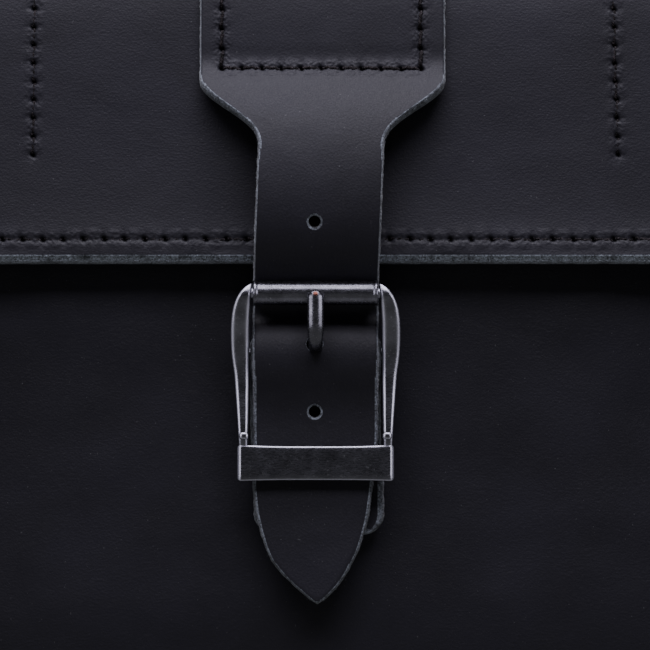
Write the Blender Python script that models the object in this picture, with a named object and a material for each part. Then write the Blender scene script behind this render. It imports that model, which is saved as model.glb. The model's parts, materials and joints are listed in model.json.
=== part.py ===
"""Black leather motorcycle saddlebag: a box pouch, a fold-over lid and one buckled closure strap.

Frame: metres, +Z up, +X along the bag's width, the lid's front faces -Y. The origin is the
middle of the flat bottom. Outlines in the side view are written as (y, z) pairs.
"""
import math

import bmesh
import bpy
from mathutils import Vector

# Driving dimensions of the pouch and the leather.
BAG_WIDTH = 0.316
BAG_DEPTH = 0.100
MOUTH_HEIGHT = 0.255
CORNER_RADIUS = 0.030
LEATHER = 0.0035
LINING = 0.0018
GAP = 0.0003
FRONT_BULGE = 0.005
FLANGE = 0.0068

# Lid.
LID_WIDTH = 0.324
LINING_OVERHANG = 0.0004
HINGE_AXIS = (0.0465, 0.2755)
BAND_INNER_EDGE = 0.085
BAND_OUTER_EDGE = 0.123
BAND_BOTTOM = 0.190
BAND_THICKNESS = 0.0022

# Closure strap.
STRAP_WIDTH = 0.0396
HEAD_WIDTH = 0.0785
HEAD_SHIFT = 0.0014
STRAP_X = -0.0008
ROW_HEIGHT = 0.223
SHOULDER_TOP = 0.220
SHOULDER_BOTTOM = 0.196
TIP_END = 0.0512
TIP_SHIFT = -0.0010
# The pointed end's outline: height and half width.
TIP_OUTLINE = (
    (0.1050, 0.0198), (0.0893, 0.0190), (0.0787, 0.0176), (0.0706, 0.0154), (0.0665, 0.0138),
    (0.0624, 0.0115), (0.0583, 0.0083), (0.0545, 0.0045), (0.0512, 0.0003),
)
HOLE_PITCH = 0.020
HOLE_RADIUS = 0.0032
PRONG_HOLE_HEIGHT = 0.1323

# Buckle.
ROLLER_RADIUS = 0.0041
ROLLER_LENGTH = 0.0400
ROLLER_CENTRE = (-0.0734, 0.150)
AXLE_RADIUS = 0.0018
BAR_RADIUS = 0.0020
BAR_CENTRE = (-0.0625, 0.131)
PLATE_WIDTH = 0.0506
PLATE_BOTTOM = 0.0900
PLATE_TOP = 0.1018
PLATE_BACK = -0.0669
PLATE_THICKNESS = 0.0035

# Chape, the folded strap that holds the buckle.
CHAPE_LEATHER = 0.0030
CHAPE_HALF_WIDTH = 0.0206
CHAPE_SHIFT = 0.0010
CHAPE_BOTTOM = 0.071
CHAPE_FRONT_END = 0.074
SLOT_WIDTH = 0.0066

# Back fittings.
BOARD_SIZE = (0.272, 0.208)
BOARD_THICKNESS = 0.0020
BOARD_BOTTOM = 0.020
RING_COLUMNS = (-0.095, 0.095)
RING_ROWS = (0.190, 0.085)
RING_WIRE = 0.0020
RING_INSIDE = (0.034, 0.020)
TAB_LEATHER = 0.0025
TAB_WIDTH = 0.030
RIVET_SHANK = 0.0018
RIVET_HEAD = 0.0042
RIVET_SPREAD = 0.008

FRONT_FACE = -BAG_DEPTH / 2
BACK_FACE = BAG_DEPTH / 2
FOLD_RADIUS = BAR_RADIUS + GAP


def remove_everything():
    """Start from an empty scene."""
    for found in list(bpy.data.objects):
        bpy.data.objects.remove(found, do_unlink=True)


def make_material(name, colour, roughness, metallic=0.0):
    """A plain Principled material."""
    made = bpy.data.materials.new(name)
    made.use_nodes = True
    shader = made.node_tree.nodes["Principled BSDF"]
    shader.inputs["Base Color"].default_value = (*colour, 1.0)
    shader.inputs["Roughness"].default_value = roughness
    shader.inputs["Metallic"].default_value = metallic
    return made


def leather_material(name):
    """Heavy black leather, dull."""
    return make_material(name, (0.022, 0.021, 0.026), 0.55)


def metal_material(name):
    """Black nickel: dark, polished metal."""
    return make_material(name, (0.10, 0.10, 0.115), 0.28, 1.0)


def finish_object(name, bm, material, origin=(0.0, 0.0, 0.0), smooth=False):
    """Turn a bmesh in world coordinates into a named object whose origin is at `origin`."""
    bmesh.ops.recalc_face_normals(bm, faces=bm.faces)
    bmesh.ops.translate(bm, verts=bm.verts, vec=-Vector(origin))
    mesh = bpy.data.meshes.new(name)
    bm.to_mesh(mesh)
    bm.free()
    made = bpy.data.objects.new(name, mesh)
    made.location = origin
    bpy.context.collection.objects.link(made)
    made.data.materials.append(material)
    if smooth:
        made.data.shade_smooth()
        made.data.set_sharp_from_angle(angle=math.radians(35))
    return made


def boolean(target, tool, operation):
    """Join or cut `target` with `tool`, which stays in the scene as a hidden guide."""
    tool.hide_render = True
    tool.display_type = "WIRE"
    step = target.modifiers.new(tool.name, "BOOLEAN")
    step.operation = operation
    step.solver = "EXACT"
    step.object = tool


def smoothstep(value):
    """Ease from 0 to 1 with flat ends."""
    t = min(max(value, 0.0), 1.0)
    return t * t * (3.0 - 2.0 * t)


def smooth_curve(points, steps):
    """A Catmull-Rom curve through the points, with `steps` stretches between each two."""
    ends = [2 * Vector(points[0]) - Vector(points[1])]
    ends += [Vector(point) for point in points]
    ends.append(2 * Vector(points[-1]) - Vector(points[-2]))
    curve = []
    for a, b, c, d in zip(ends, ends[1:], ends[2:], ends[3:]):
        for step in range(steps):
            t = step / steps
            curve.append(
                0.5 * (2 * b + (c - a) * t + (2 * a - 5 * b + 4 * c - d) * t**2
                       + (3 * b - a - 3 * c + d) * t**3)
            )
    curve.append(ends[-2])
    return curve


def offset_path(path, distance):
    """The path moved sideways, to the left of its direction, with every facet parallel."""
    moved = []
    for index, point in enumerate(path):
        before = path[max(index - 1, 0)]
        after = path[min(index + 1, len(path) - 1)]
        first = (point - before) if index > 0 else (after - point)
        second = (after - point) if index < len(path) - 1 else first
        normals = [Vector((-run.y, run.x)).normalized() for run in (first, second)]
        middle = (normals[0] + normals[1]).normalized()
        moved.append(point + middle * (distance / middle.dot(normals[0])))
    return moved


def ribbon(front, back, edges):
    """A closed strip between two side-view paths; edges(z) gives its left and right x."""
    bm = bmesh.new()
    rings = []
    for outer, inner in zip(front, back):
        left, right = edges(outer)
        corners = (
            (left, outer.x, outer.y),
            (right, outer.x, outer.y),
            (right, inner.x, inner.y),
            (left, inner.x, inner.y),
        )
        rings.append([bm.verts.new(corner) for corner in corners])
    for ring, following in zip(rings, rings[1:]):
        for side in range(4):
            after = (side + 1) % 4
            bm.faces.new((ring[side], ring[after], following[after], following[side]))
    bm.faces.new(rings[0])
    bm.faces.new(rings[-1])
    return bm


def plate(outline, near, far):
    """A flat piece: an (x, z) outline extruded along Y from `near` to `far`."""
    bm = bmesh.new()
    face = bm.faces.new([bm.verts.new((x, near, z)) for x, z in outline])
    extruded = bmesh.ops.extrude_face_region(bm, geom=[face])
    moved = [item for item in extruded["geom"] if isinstance(item, bmesh.types.BMVert)]
    bmesh.ops.translate(bm, verts=moved, vec=(0.0, far - near, 0.0))
    return bm


def loft(sections):
    """A closed body through rings of equally many points."""
    bm = bmesh.new()
    rings = [[bm.verts.new(point) for point in section] for section in sections]
    for ring, following in zip(rings, rings[1:]):
        for index in range(len(ring)):
            after = (index + 1) % len(ring)
            bm.faces.new((ring[index], ring[after], following[after], following[index]))
    bm.faces.new(rings[0])
    bm.faces.new(rings[-1])
    return bm


def turned(profile, segments, centre, axis):
    """A closed body of revolution from (radius, height) points, about the X or Y axis."""
    bm = bmesh.new()
    rings = []
    for radius, height in profile:
        ring = []
        for step in range(segments):
            angle = 2 * math.pi * step / segments
            across = (radius * math.cos(angle), radius * math.sin(angle))
            if axis == "X":
                offset = Vector((height, across[0], across[1]))
            else:
                offset = Vector((across[0], height, across[1]))
            ring.append(bm.verts.new(Vector(centre) + offset))
        rings.append(ring)
    for ring, following in zip(rings, rings[1:] + rings[:1]):
        for step in range(segments):
            after = (step + 1) % segments
            bm.faces.new((ring[step], ring[after], following[after], following[step]))
    return bm


def rod(radius, start, end, centre, axis, segments=16):
    """A plain solid rod along X or Y."""
    bm = bmesh.new()
    bmesh.ops.create_cone(
        bm, cap_ends=True, segments=segments, radius1=radius, radius2=radius, depth=end - start
    )
    turn = ((0, 0, 1), (0, 1, 0), (-1, 0, 0)) if axis == "X" else ((1, 0, 0), (0, 0, 1), (0, -1, 0))
    shift = Vector(((start + end) / 2, 0, 0)) if axis == "X" else Vector((0, (start + end) / 2, 0))
    for vert in bm.verts:
        spun = Vector([sum(turn[row][k] * vert.co[k] for k in range(3)) for row in range(3)])
        vert.co = Vector(centre) + shift + spun
    return bm


def arc(centre, radius, start, end, count):
    """Points on an arc, angles in degrees, as (a, b) pairs."""
    points = []
    for step in range(count + 1):
        angle = math.radians(start + (end - start) * step / count)
        points.append((centre[0] + radius * math.cos(angle), centre[1] + radius * math.sin(angle)))
    return points


def pouch_outline(inset, top):
    """The U-shaped outline of the pouch seen from the front, from top left round to top right."""
    half = BAG_WIDTH / 2 - inset
    radius = CORNER_RADIUS - inset
    corner = BAG_WIDTH / 2 - CORNER_RADIUS
    left = arc((-corner, CORNER_RADIUS), radius, 180, 270, 8)
    right = arc((corner, CORNER_RADIUS), radius, 270, 360, 8)
    return [(-half, top)] + left + right + [(half, top)]


# ---- Pouch ------------------------------------------------------------------------------


def half_width_at(height):
    """Half the pouch's width at a height, with the round lower corners."""
    if height >= CORNER_RADIUS:
        return BAG_WIDTH / 2
    drop = CORNER_RADIUS - height
    return BAG_WIDTH / 2 - CORNER_RADIUS + math.sqrt(max(CORNER_RADIUS**2 - drop**2, 0.0))


def front_face_at(x, height):
    """The front panel's outer face: flat rim, soft bulge and a flat middle."""
    across = smoothstep((1.0 - abs(x) / half_width_at(height)) / 0.5)
    along = smoothstep(height / 0.055) * smoothstep((MOUTH_HEIGHT - height) / 0.055)
    return FRONT_FACE - FRONT_BULGE * across * along


def make_front_panel():
    """A bulged leather sheet with round lower corners and two rivet holes."""
    corner_heights = [CORNER_RADIUS * (1 - math.cos(math.radians(a))) for a in range(0, 90, 15)]
    wall = MOUTH_HEIGHT - CORNER_RADIUS
    heights = corner_heights + [CORNER_RADIUS + wall * step / 10 for step in range(11)]
    columns = [-1 + 2 * step / 14 for step in range(15)]
    bm = bmesh.new()
    sides = []
    for offset in (0.0, LEATHER):
        grid = []
        for height in heights:
            row = []
            for column in columns:
                x = column * half_width_at(height)
                row.append(bm.verts.new((x, front_face_at(x, height) + offset, height)))
            grid.append(row)
        sides.append(grid)
    for grid in sides:
        for low, high in zip(grid, grid[1:]):
            for left in range(len(columns) - 1):
                bm.faces.new((low[left], low[left + 1], high[left + 1], high[left]))
    rims = []
    for grid in sides:
        rim = grid[0] + [row[-1] for row in grid[1:-1]] + grid[-1][::-1]
        rims.append(rim + [row[0] for row in grid[-2:0:-1]])
    for index in range(len(rims[0])):
        after = (index + 1) % len(rims[0])
        bm.faces.new((rims[0][index], rims[0][after], rims[1][after], rims[1][index]))
    panel = finish_object("front_panel", bm, leather_material("front_leather"))
    for height in CHAPE_RIVET_HEIGHTS:
        drill(panel, STRAP_X, height, FRONT_FACE - 0.010, FRONT_FACE + 0.010)
    return panel


def drill(target, x, height, near, far, radius=RIVET_SHANK + GAP):
    """A round hole along Y."""
    name = f"drill_{target.name}_{round(x * 1000)}_{round(height * 1000)}"
    bm = rod(radius, near, far, (x, 0.0, height), "Y")
    boolean(target, finish_object(name, bm, leather_material(name)), "DIFFERENCE")


def make_gusset():
    """The U-shaped side strip: a channel whose two flanges are turned in."""
    near = FRONT_FACE + LEATHER + GAP
    far = BACK_FACE - LEATHER - GAP
    wall = 0.0032
    section = (
        (0.0, near), (0.0, far), (FLANGE, far), (FLANGE, far - wall),
        (wall, far - wall), (wall, near + wall), (FLANGE, near + wall), (FLANGE, near),
    )
    stations = [pouch_outline(inset, MOUTH_HEIGHT) for inset, _ in section]
    sections = []
    for index in range(len(stations[0])):
        sections.append([
            (stations[corner][index][0], section[corner][1], stations[corner][index][1])
            for corner in range(len(section))
        ])
    return finish_object("gusset", loft(sections), leather_material("gusset_leather"))


def make_back_panel():
    """The flat back, with holes for the tab rivets."""
    bm = plate(pouch_outline(0.0, MOUTH_HEIGHT), BACK_FACE - LEATHER, BACK_FACE)
    panel = finish_object("back_panel", bm, leather_material("back_leather"))
    for x, height in tab_rivet_places():
        drill(panel, x, height, BACK_FACE - 0.010, BACK_FACE + 0.010)


def make_back_board():
    """A stiff board inside the back panel, with holes for the tab rivets."""
    half, height = BOARD_SIZE[0] / 2, BOARD_SIZE[1]
    top = BOARD_BOTTOM + height
    radius = 0.020
    outline = arc((-half + radius, BOARD_BOTTOM + radius), radius, 180, 270, 4)
    outline += arc((half - radius, BOARD_BOTTOM + radius), radius, 270, 360, 4)
    outline += arc((half - radius, top - radius), radius, 0, 90, 4)
    outline += arc((-half + radius, top - radius), radius, 90, 180, 4)
    far = BACK_FACE - LEATHER - GAP
    bm = plate(outline, far - BOARD_THICKNESS, far)
    board = finish_object("back_board", bm, make_material("board", (0.05, 0.05, 0.05), 0.7))
    for x, place in tab_rivet_places():
        drill(board, x, place, far - 0.010, far + 0.010)


def make_mouth_band():
    """A leather band inside the front panel's upper edge, between the gusset's flanges."""
    half = BAG_WIDTH / 2 - FLANGE - 0.004
    near = FRONT_FACE + LEATHER + GAP
    outline = ((-half, 0.232), (half, 0.232), (half, MOUTH_HEIGHT), (-half, MOUTH_HEIGHT))
    bm = plate(outline, near, near + 0.0025)
    finish_object("mouth_band", bm, leather_material("mouth_leather"))


# ---- Lid --------------------------------------------------------------------------------

LID_STEPS = 4
LID_OUTSIDE = smooth_curve(
    (
        (0.0538, 0.232), (0.0538, 0.252), (0.0531, 0.264), (0.0488, 0.2755), (0.0390, 0.2825),
        (0.0200, 0.2850), (-0.0050, 0.2853), (-0.0280, 0.2835), (-0.0460, 0.2765),
        (-0.0565, 0.2630), (-0.0610, 0.2470), (-0.0626, 0.2250), (-0.0636, 0.2000),
        (-0.0650, 0.1770), (-0.0671, 0.1613),
    ),
    LID_STEPS,
)
# Which of the curve's points end the band on the back and the fold at the hinge.
BAND_END = 1 * LID_STEPS
FOLD_END = 4 * LID_STEPS
LID_END = len(LID_OUTSIDE) - 1


def full_width(_point):
    """The lid's left and right edge."""
    return -LID_WIDTH / 2, LID_WIDTH / 2


def band_width(_point):
    """The hinge band and the fold are as wide as the back panel."""
    return -BAG_WIDTH / 2, BAG_WIDTH / 2


def stretch_of_lid(first, last, depth, thickness):
    """Front and back path of a layer that lies `depth` below the lid's outer face."""
    paths = []
    for distance in (depth, depth + thickness):
        path = offset_path(LID_OUTSIDE, distance)[first:last + 1]
        if first > 0:
            path[0] = path[0] + (path[1] - path[0]).normalized() * GAP
        paths.append(path)
    return paths


def make_lid():
    """The lid's leather in three stretches: band on the back, fold at the hinge, moving lid."""
    band = stretch_of_lid(0, BAND_END, 0.0, LEATHER)
    finish_object("hinge_band", ribbon(*band, band_width), leather_material("band_leather"))
    fold = stretch_of_lid(BAND_END, FOLD_END, 0.0, LEATHER)
    finish_object("lid_fold", ribbon(*fold, band_width), leather_material("fold_leather"))
    lid = stretch_of_lid(FOLD_END, LID_END, 0.0, LEATHER)
    origin = (0.0, *HINGE_AXIS)
    finish_object("lid_leather", ribbon(*lid, full_width), leather_material("lid_leather"), origin)


def make_lid_lining():
    """A thinner layer under the lid, a little longer than the leather at the hem."""
    front, back = stretch_of_lid(FOLD_END, LID_END, LEATHER + GAP, LINING)
    run = (front[-1] - front[-2]).normalized() * LINING_OVERHANG
    front[-1] = front[-1] + run
    back[-1] = back[-1] + run
    material = make_material("lining", (0.015, 0.015, 0.017), 0.8)
    finish_object("lid_lining", ribbon(front, back, full_width), material, (0.0, *HINGE_AXIS))


def make_lid_bands():
    """Two bands inside the lid, over its top and down its front."""
    depth = LEATHER + LINING + 2 * GAP
    last = max(index for index, point in enumerate(LID_OUTSIDE) if point.y > BAND_BOTTOM)
    front, back = stretch_of_lid(FOLD_END + 2, last, depth, BAND_THICKNESS)
    for side, name in ((-1, "lid_band_left"), (1, "lid_band_right")):
        x = sorted((side * BAND_INNER_EDGE, side * BAND_OUTER_EDGE))
        bm = ribbon(front, back, lambda _point, ends=tuple(x): ends)
        finish_object(name, bm, leather_material(name), (0.0, *HINGE_AXIS))


# ---- Closure strap ----------------------------------------------------------------------

STRAP_FREE_RUN = (
    (-0.0652, 0.2195), (-0.0702, 0.2120), (-0.0746, 0.2030), (-0.0773, 0.1930),
    (-0.0783, 0.1830), (-0.0775, 0.1730), (-0.0746, 0.1655), (-0.0708, 0.1600),
    (-0.0672, 0.1550), (-0.0640, 0.1505), (-0.0622, 0.1460), (-0.0630, 0.1415),
    (-0.0661, 0.1370), (-0.0679, 0.1335), (-0.0682, 0.1300), (-0.0673, 0.1255),
    (-0.0655, 0.1205), (-0.0640, 0.1150), (-0.0633, 0.1090), (-0.0631, 0.1020),
    (-0.0631, 0.0900), (-0.0630, 0.0800), (-0.0630, 0.0720), (-0.0629, 0.0660),
    (-0.0629, 0.0600), (-0.0629, 0.0550), (-0.0629, TIP_END),
)


def strap_edges(point):
    """The strap's left and right edge at a place on it: wide head, shoulders, long taper."""
    head = smoothstep((point.y - SHOULDER_BOTTOM) / (SHOULDER_TOP - SHOULDER_BOTTOM)) ** 1.4
    half = STRAP_WIDTH / 2 + (HEAD_WIDTH - STRAP_WIDTH) / 2 * head
    middle = STRAP_X + (HEAD_SHIFT - STRAP_X) * smoothstep((point.y - 0.140) / 0.080)
    middle += TIP_SHIFT * smoothstep((0.105 - point.y) / 0.020)
    for (upper, wide), (lower, narrow) in zip(TIP_OUTLINE, TIP_OUTLINE[1:]):
        if upper >= point.y >= lower - 0.001:
            half = wide + (narrow - wide) * min((upper - point.y) / (upper - lower), 1.0)
    return middle - half, middle + half


def make_closure_strap():
    """One strap: the head lies on the lid, the rest bows out and runs through the buckle."""
    on_lid = offset_path(LID_OUTSIDE, -GAP)
    head = [point for point in on_lid if point.x < -0.004 and point.y > ROW_HEIGHT]
    back = smooth_curve(head[::3] + [head[-1]] + [Vector(point) for point in STRAP_FREE_RUN], 3)
    back = head + [point for point in back if point.y < head[-1].y - 0.001]
    front = offset_path(back, -LEATHER)
    bm = ribbon(front, back, strap_edges)
    strap = finish_object("closure_strap", bm, leather_material("strap_leather"))
    for step in (-1, 0, 1, 2):
        height = PRONG_HOLE_HEIGHT + step * HOLE_PITCH
        drill(strap, STRAP_X, height, -0.100, -0.055, HOLE_RADIUS)


# ---- Buckle -----------------------------------------------------------------------------

# Arm stations from top to plate: height, inner and outer distance from the buckle's middle.
ARM_STATIONS = (
    (0.1527, 0.0209, 0.0214), (0.1521, 0.0208, 0.0224), (0.1511, 0.0207, 0.0235),
    (0.1496, 0.0207, 0.0247), (0.1475, 0.0208, 0.0258), (0.1440, 0.0210, 0.0268),
    (0.1385, 0.0211, 0.0273), (0.1310, 0.0212, 0.0271), (0.1239, 0.0212, 0.0262),
    (0.1170, 0.0213, 0.0257), (0.1100, 0.0214, 0.0252), (0.1040, 0.0216, 0.0248),
    (0.0985, 0.0217, 0.0245),
)
ARM_RUN = smooth_curve(
    (
        (0.1530, -0.0735), (0.1500, -0.0733), (0.1430, -0.0700), (0.1310, -0.0650),
        (0.1200, -0.0652), (0.1090, -0.0674), (0.0985, -0.0686),
    ),
    6,
)


def arm_middle(height):
    """The arm's middle in Y at a height, read from its side-view curve."""
    for upper, lower in zip(ARM_RUN, ARM_RUN[1:]):
        if upper.x >= height >= lower.x:
            part = (upper.x - height) / (upper.x - lower.x)
            return upper.y + (lower.y - upper.y) * part
    return ARM_RUN[-1].y


def oval(middle_x, middle_y, height, half_x, half_y, count=12):
    """A level ring of points with rounded-off corners."""
    ring = []
    for step in range(count):
        angle = 2 * math.pi * (step + 0.5) / count
        across = math.copysign(abs(math.cos(angle)) ** 0.7, math.cos(angle))
        deep = math.copysign(abs(math.sin(angle)) ** 0.7, math.sin(angle))
        ring.append((middle_x + half_x * across, middle_y + half_y * deep, height))
    return ring


def make_arm(side):
    """One side arm, thin at its top and where it meets the plate."""
    sections = []
    for height, inner, outer in ARM_STATIONS:
        ends = smoothstep((0.1545 - height) / 0.006) * smoothstep((height - 0.088) / 0.018)
        half_y = 0.0012 + 0.0023 * ends
        middle = STRAP_X + side * (inner + outer) / 2
        sections.append(oval(middle, arm_middle(height), height, (outer - inner) / 2, half_y))
    return loft(sections)


def make_keeper_plate():
    """The flat blank plate at the buckle's lower end, with round corners."""
    half, radius = PLATE_WIDTH / 2, 0.0018
    corners = (
        (STRAP_X + half - radius, PLATE_TOP - radius, 0),
        (STRAP_X - half + radius, PLATE_TOP - radius, 90),
        (STRAP_X - half + radius, PLATE_BOTTOM + radius, 180),
        (STRAP_X + half - radius, PLATE_BOTTOM + radius, 270),
    )
    outline = []
    for x, height, turn in corners:
        outline += arc((x, height), radius, turn, turn + 90, 4)
    return plate(outline, PLATE_BACK - PLATE_THICKNESS, PLATE_BACK)


def make_buckle_frame():
    """One casting: two arms, roller axle, centre bar and keeper plate."""
    origin = (STRAP_X, *BAR_CENTRE)
    metal = metal_material("frame_metal")
    reach = 0.0232
    frame = finish_object("buckle_frame", make_arm(-1), metal, origin, smooth=True)
    pieces = (
        ("arm_right", make_arm(1)),
        ("axle", rod(AXLE_RADIUS, -reach, reach, (STRAP_X, *ROLLER_CENTRE), "X")),
        ("centre_bar", rod(BAR_RADIUS, -reach, reach, (STRAP_X, *BAR_CENTRE), "X")),
        ("keeper_plate", make_keeper_plate()),
    )
    for name, bm in pieces:
        boolean(frame, finish_object(name, bm, metal, origin), "UNION")


def make_buckle_roller():
    """A tube that turns on the axle."""
    half = ROLLER_LENGTH / 2
    profile = (
        (ROLLER_RADIUS, half - 0.0004), (ROLLER_RADIUS - 0.0004, half), (AXLE_RADIUS + GAP, half),
        (AXLE_RADIUS + GAP, -half), (ROLLER_RADIUS - 0.0004, -half), (ROLLER_RADIUS, -half + 0.0004),
    )
    centre = (STRAP_X, *ROLLER_CENTRE)
    bm = turned(profile, 24, centre, "X")
    finish_object("buckle_roller", bm, metal_material("roller_metal"), centre, smooth=True)


PRONG_RUN = smooth_curve(
    (
        (-0.0655, 0.1316), (-0.0690, 0.1325), (-0.0730, 0.1338), (-0.0767, 0.1368),
        (-0.0788, 0.1410), (-0.0795, 0.1460), (-0.0799, 0.1515),
    ),
    4,
)


def make_buckle_prong():
    """A bent prong with an eye round the centre bar; its tip rests on the roller."""
    sections = []
    last = len(PRONG_RUN) - 1
    for index, point in enumerate(PRONG_RUN):
        before = PRONG_RUN[max(index - 1, 0)]
        after = PRONG_RUN[min(index + 1, last)]
        run = (after - before).normalized()
        normal = Vector((-run.y, run.x))
        grown = smoothstep((index - 8) / 8)
        tip = math.sqrt(1.0 - max((index - last + 3) / 3.6, 0.0) ** 2)
        half_x = (0.0022 + 0.0005 * grown) * tip
        half_n = (0.0016 + 0.0003 * grown) * tip
        ring = []
        for step in range(12):
            angle = 2 * math.pi * step / 12
            place = point + normal * (half_n * math.sin(angle))
            ring.append((STRAP_X + half_x * math.cos(angle), place.x, place.y))
        sections.append(ring)
    origin = (STRAP_X, *BAR_CENTRE)
    metal = metal_material("prong_metal")
    eye = ((0.0040, 0.0026), (0.0040, -0.0026), (FOLD_RADIUS, -0.0026), (FOLD_RADIUS, 0.0026))
    bm = turned(eye, 20, origin, "X")
    prong = finish_object("buckle_prong", bm, metal, origin, smooth=True)
    boolean(prong, finish_object("prong_shank", loft(sections), metal, origin), "UNION")


# ---- Chape and its rivets ---------------------------------------------------------------

CHAPE_RIVET_HEIGHTS = (0.104, 0.081)
CHAPE_BACK_LAYER = FRONT_FACE - FRONT_BULGE - GAP - CHAPE_LEATHER / 2
CHAPE_FRONT_LAYER = CHAPE_BACK_LAYER - CHAPE_LEATHER - GAP


def make_chape():
    """A strap folded over the centre bar, with a slot for the prong; both layers are riveted."""
    radius = FOLD_RADIUS + CHAPE_LEATHER / 2
    y_bar, z_bar = BAR_CENTRE
    up = smooth_curve(
        (
            (CHAPE_BACK_LAYER, CHAPE_BOTTOM), (CHAPE_BACK_LAYER, 0.0745),
            (CHAPE_BACK_LAYER, 0.078), (CHAPE_BACK_LAYER, 0.108), (CHAPE_BACK_LAYER, 0.116),
            (CHAPE_BACK_LAYER - 0.0008, 0.124), (y_bar + radius, z_bar),
        ),
        3,
    )
    over = [Vector(point) for point in arc(BAR_CENTRE, radius, 0, 180, 10)][1:-1]
    down = smooth_curve(
        (
            (y_bar - radius, z_bar), (CHAPE_FRONT_LAYER - 0.0040, 0.124),
            (CHAPE_FRONT_LAYER - 0.0008, 0.1175), (CHAPE_FRONT_LAYER, 0.111),
            (CHAPE_FRONT_LAYER, 0.081), (CHAPE_FRONT_LAYER, 0.0775),
            (CHAPE_FRONT_LAYER, CHAPE_FRONT_END),
        ),
        3,
    )
    middle = up + over + down

    def edges(point):
        end = CHAPE_BOTTOM if point.x > (CHAPE_BACK_LAYER + CHAPE_FRONT_LAYER) / 2 else CHAPE_FRONT_END
        corner = 0.007
        left = max(corner - (point.y - end), 0.0)
        half = CHAPE_HALF_WIDTH - (corner - math.sqrt(corner**2 - min(left, corner) ** 2))
        centre = STRAP_X + CHAPE_SHIFT * smoothstep((0.108 - point.y) / 0.020)
        return centre - half, centre + half

    front = offset_path(middle, -CHAPE_LEATHER / 2)
    back = offset_path(middle, CHAPE_LEATHER / 2)
    chape = finish_object("chape", ribbon(front, back, edges), leather_material("chape_leather"))
    half_slot = SLOT_WIDTH / 2
    outline = (
        (STRAP_X - half_slot, 0.1225), (STRAP_X + half_slot, 0.1225),
        (STRAP_X + half_slot, 0.1400), (STRAP_X - half_slot, 0.1400),
    )
    slot = finish_object("chape_slot", plate(outline, -0.080, -0.050), leather_material("slot"))
    boolean(chape, slot, "DIFFERENCE")
    for height in CHAPE_RIVET_HEIGHTS:
        drill(chape, STRAP_X, height, -0.080, -0.050)


def make_rivet(name, x, height, outside, inside):
    """A rivet along Y with a low head outside and a flat burr inside."""
    way = 1 if inside > outside else -1
    thick = 0.0009
    profile = (
        (0.0004, outside - way * thick), (RIVET_HEAD * 0.7, outside - way * thick * 0.85),
        (RIVET_HEAD, outside - way * thick * 0.3), (RIVET_HEAD, outside), (RIVET_SHANK, outside),
        (RIVET_SHANK, inside), (RIVET_HEAD, inside), (RIVET_HEAD, inside + way * thick),
        (0.0004, inside + way * thick),
    )
    rings = []
    for radius, depth in profile:
        rings.append([
            (x + a, depth, height + b) for a, b in arc((0.0, 0.0), radius, 0, 337.5, 15)
        ])
    metal = metal_material(name)
    finish_object(name, loft(rings), metal, (x, outside, height), smooth=True)


def make_chape_rivets():
    """Two rivets through both layers of the chape and the front panel."""
    outside = CHAPE_FRONT_LAYER - CHAPE_LEATHER / 2 - GAP
    inside = FRONT_FACE - FRONT_BULGE + LEATHER + GAP
    for name, height in zip(("chape_rivet_upper", "chape_rivet_lower"), CHAPE_RIVET_HEIGHTS):
        make_rivet(name, STRAP_X, height, outside, inside)


# ---- Back fittings ----------------------------------------------------------------------

TAB_INNER_LAYER = BACK_FACE + GAP + TAB_LEATHER / 2
TAB_FOLD_RADIUS = RING_WIRE + GAP + TAB_LEATHER / 2
RING_Y = TAB_INNER_LAYER + TAB_FOLD_RADIUS
TAB_OUTER_LAYER = TAB_INNER_LAYER + TAB_LEATHER + GAP
TAB_RIVET_RISE = 0.018
TAB_HEIGHT = 0.028


def ring_places():
    """Name suffix, x and height of each ring's pivot."""
    for row, height in zip(("upper", "lower"), RING_ROWS):
        for side, x in zip(("left", "right"), RING_COLUMNS):
            yield f"{row}_{side}", x, height


def tab_rivet_places():
    """Where the two rivets of each tab go through the back."""
    for _name, x, height in ring_places():
        for shift in (-RIVET_SPREAD, RIVET_SPREAD):
            yield x + shift, height + TAB_RIVET_RISE


def make_ring_tab(name, x, height):
    """A leather tab folded under the ring's bar."""
    rise = height + TAB_HEIGHT
    down = [Vector((TAB_INNER_LAYER, rise)), Vector((TAB_INNER_LAYER, height))]
    around = [Vector(p) for p in arc((RING_Y, height), TAB_FOLD_RADIUS, 180, 360, 10)][1:]
    up = smooth_curve(
        (
            (RING_Y + TAB_FOLD_RADIUS, height), (TAB_OUTER_LAYER + 0.0030, height + 0.005),
            (TAB_OUTER_LAYER + 0.0004, height + 0.0105), (TAB_OUTER_LAYER, height + 0.0130),
            (TAB_OUTER_LAYER, rise - 0.002),
        ),
        3,
    )
    middle = down + around + up[1:]
    outer = offset_path(middle, -TAB_LEATHER / 2)
    inner = offset_path(middle, TAB_LEATHER / 2)
    half = TAB_WIDTH / 2
    bm = ribbon(outer, inner, lambda _point: (x - half, x + half))
    tab = finish_object(f"ring_tab_{name}", bm, leather_material(f"tab_{name}"))
    for shift in (-RIVET_SPREAD, RIVET_SPREAD):
        drill(tab, x + shift, height + TAB_RIVET_RISE, BACK_FACE - 0.005, BACK_FACE + 0.015)


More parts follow.
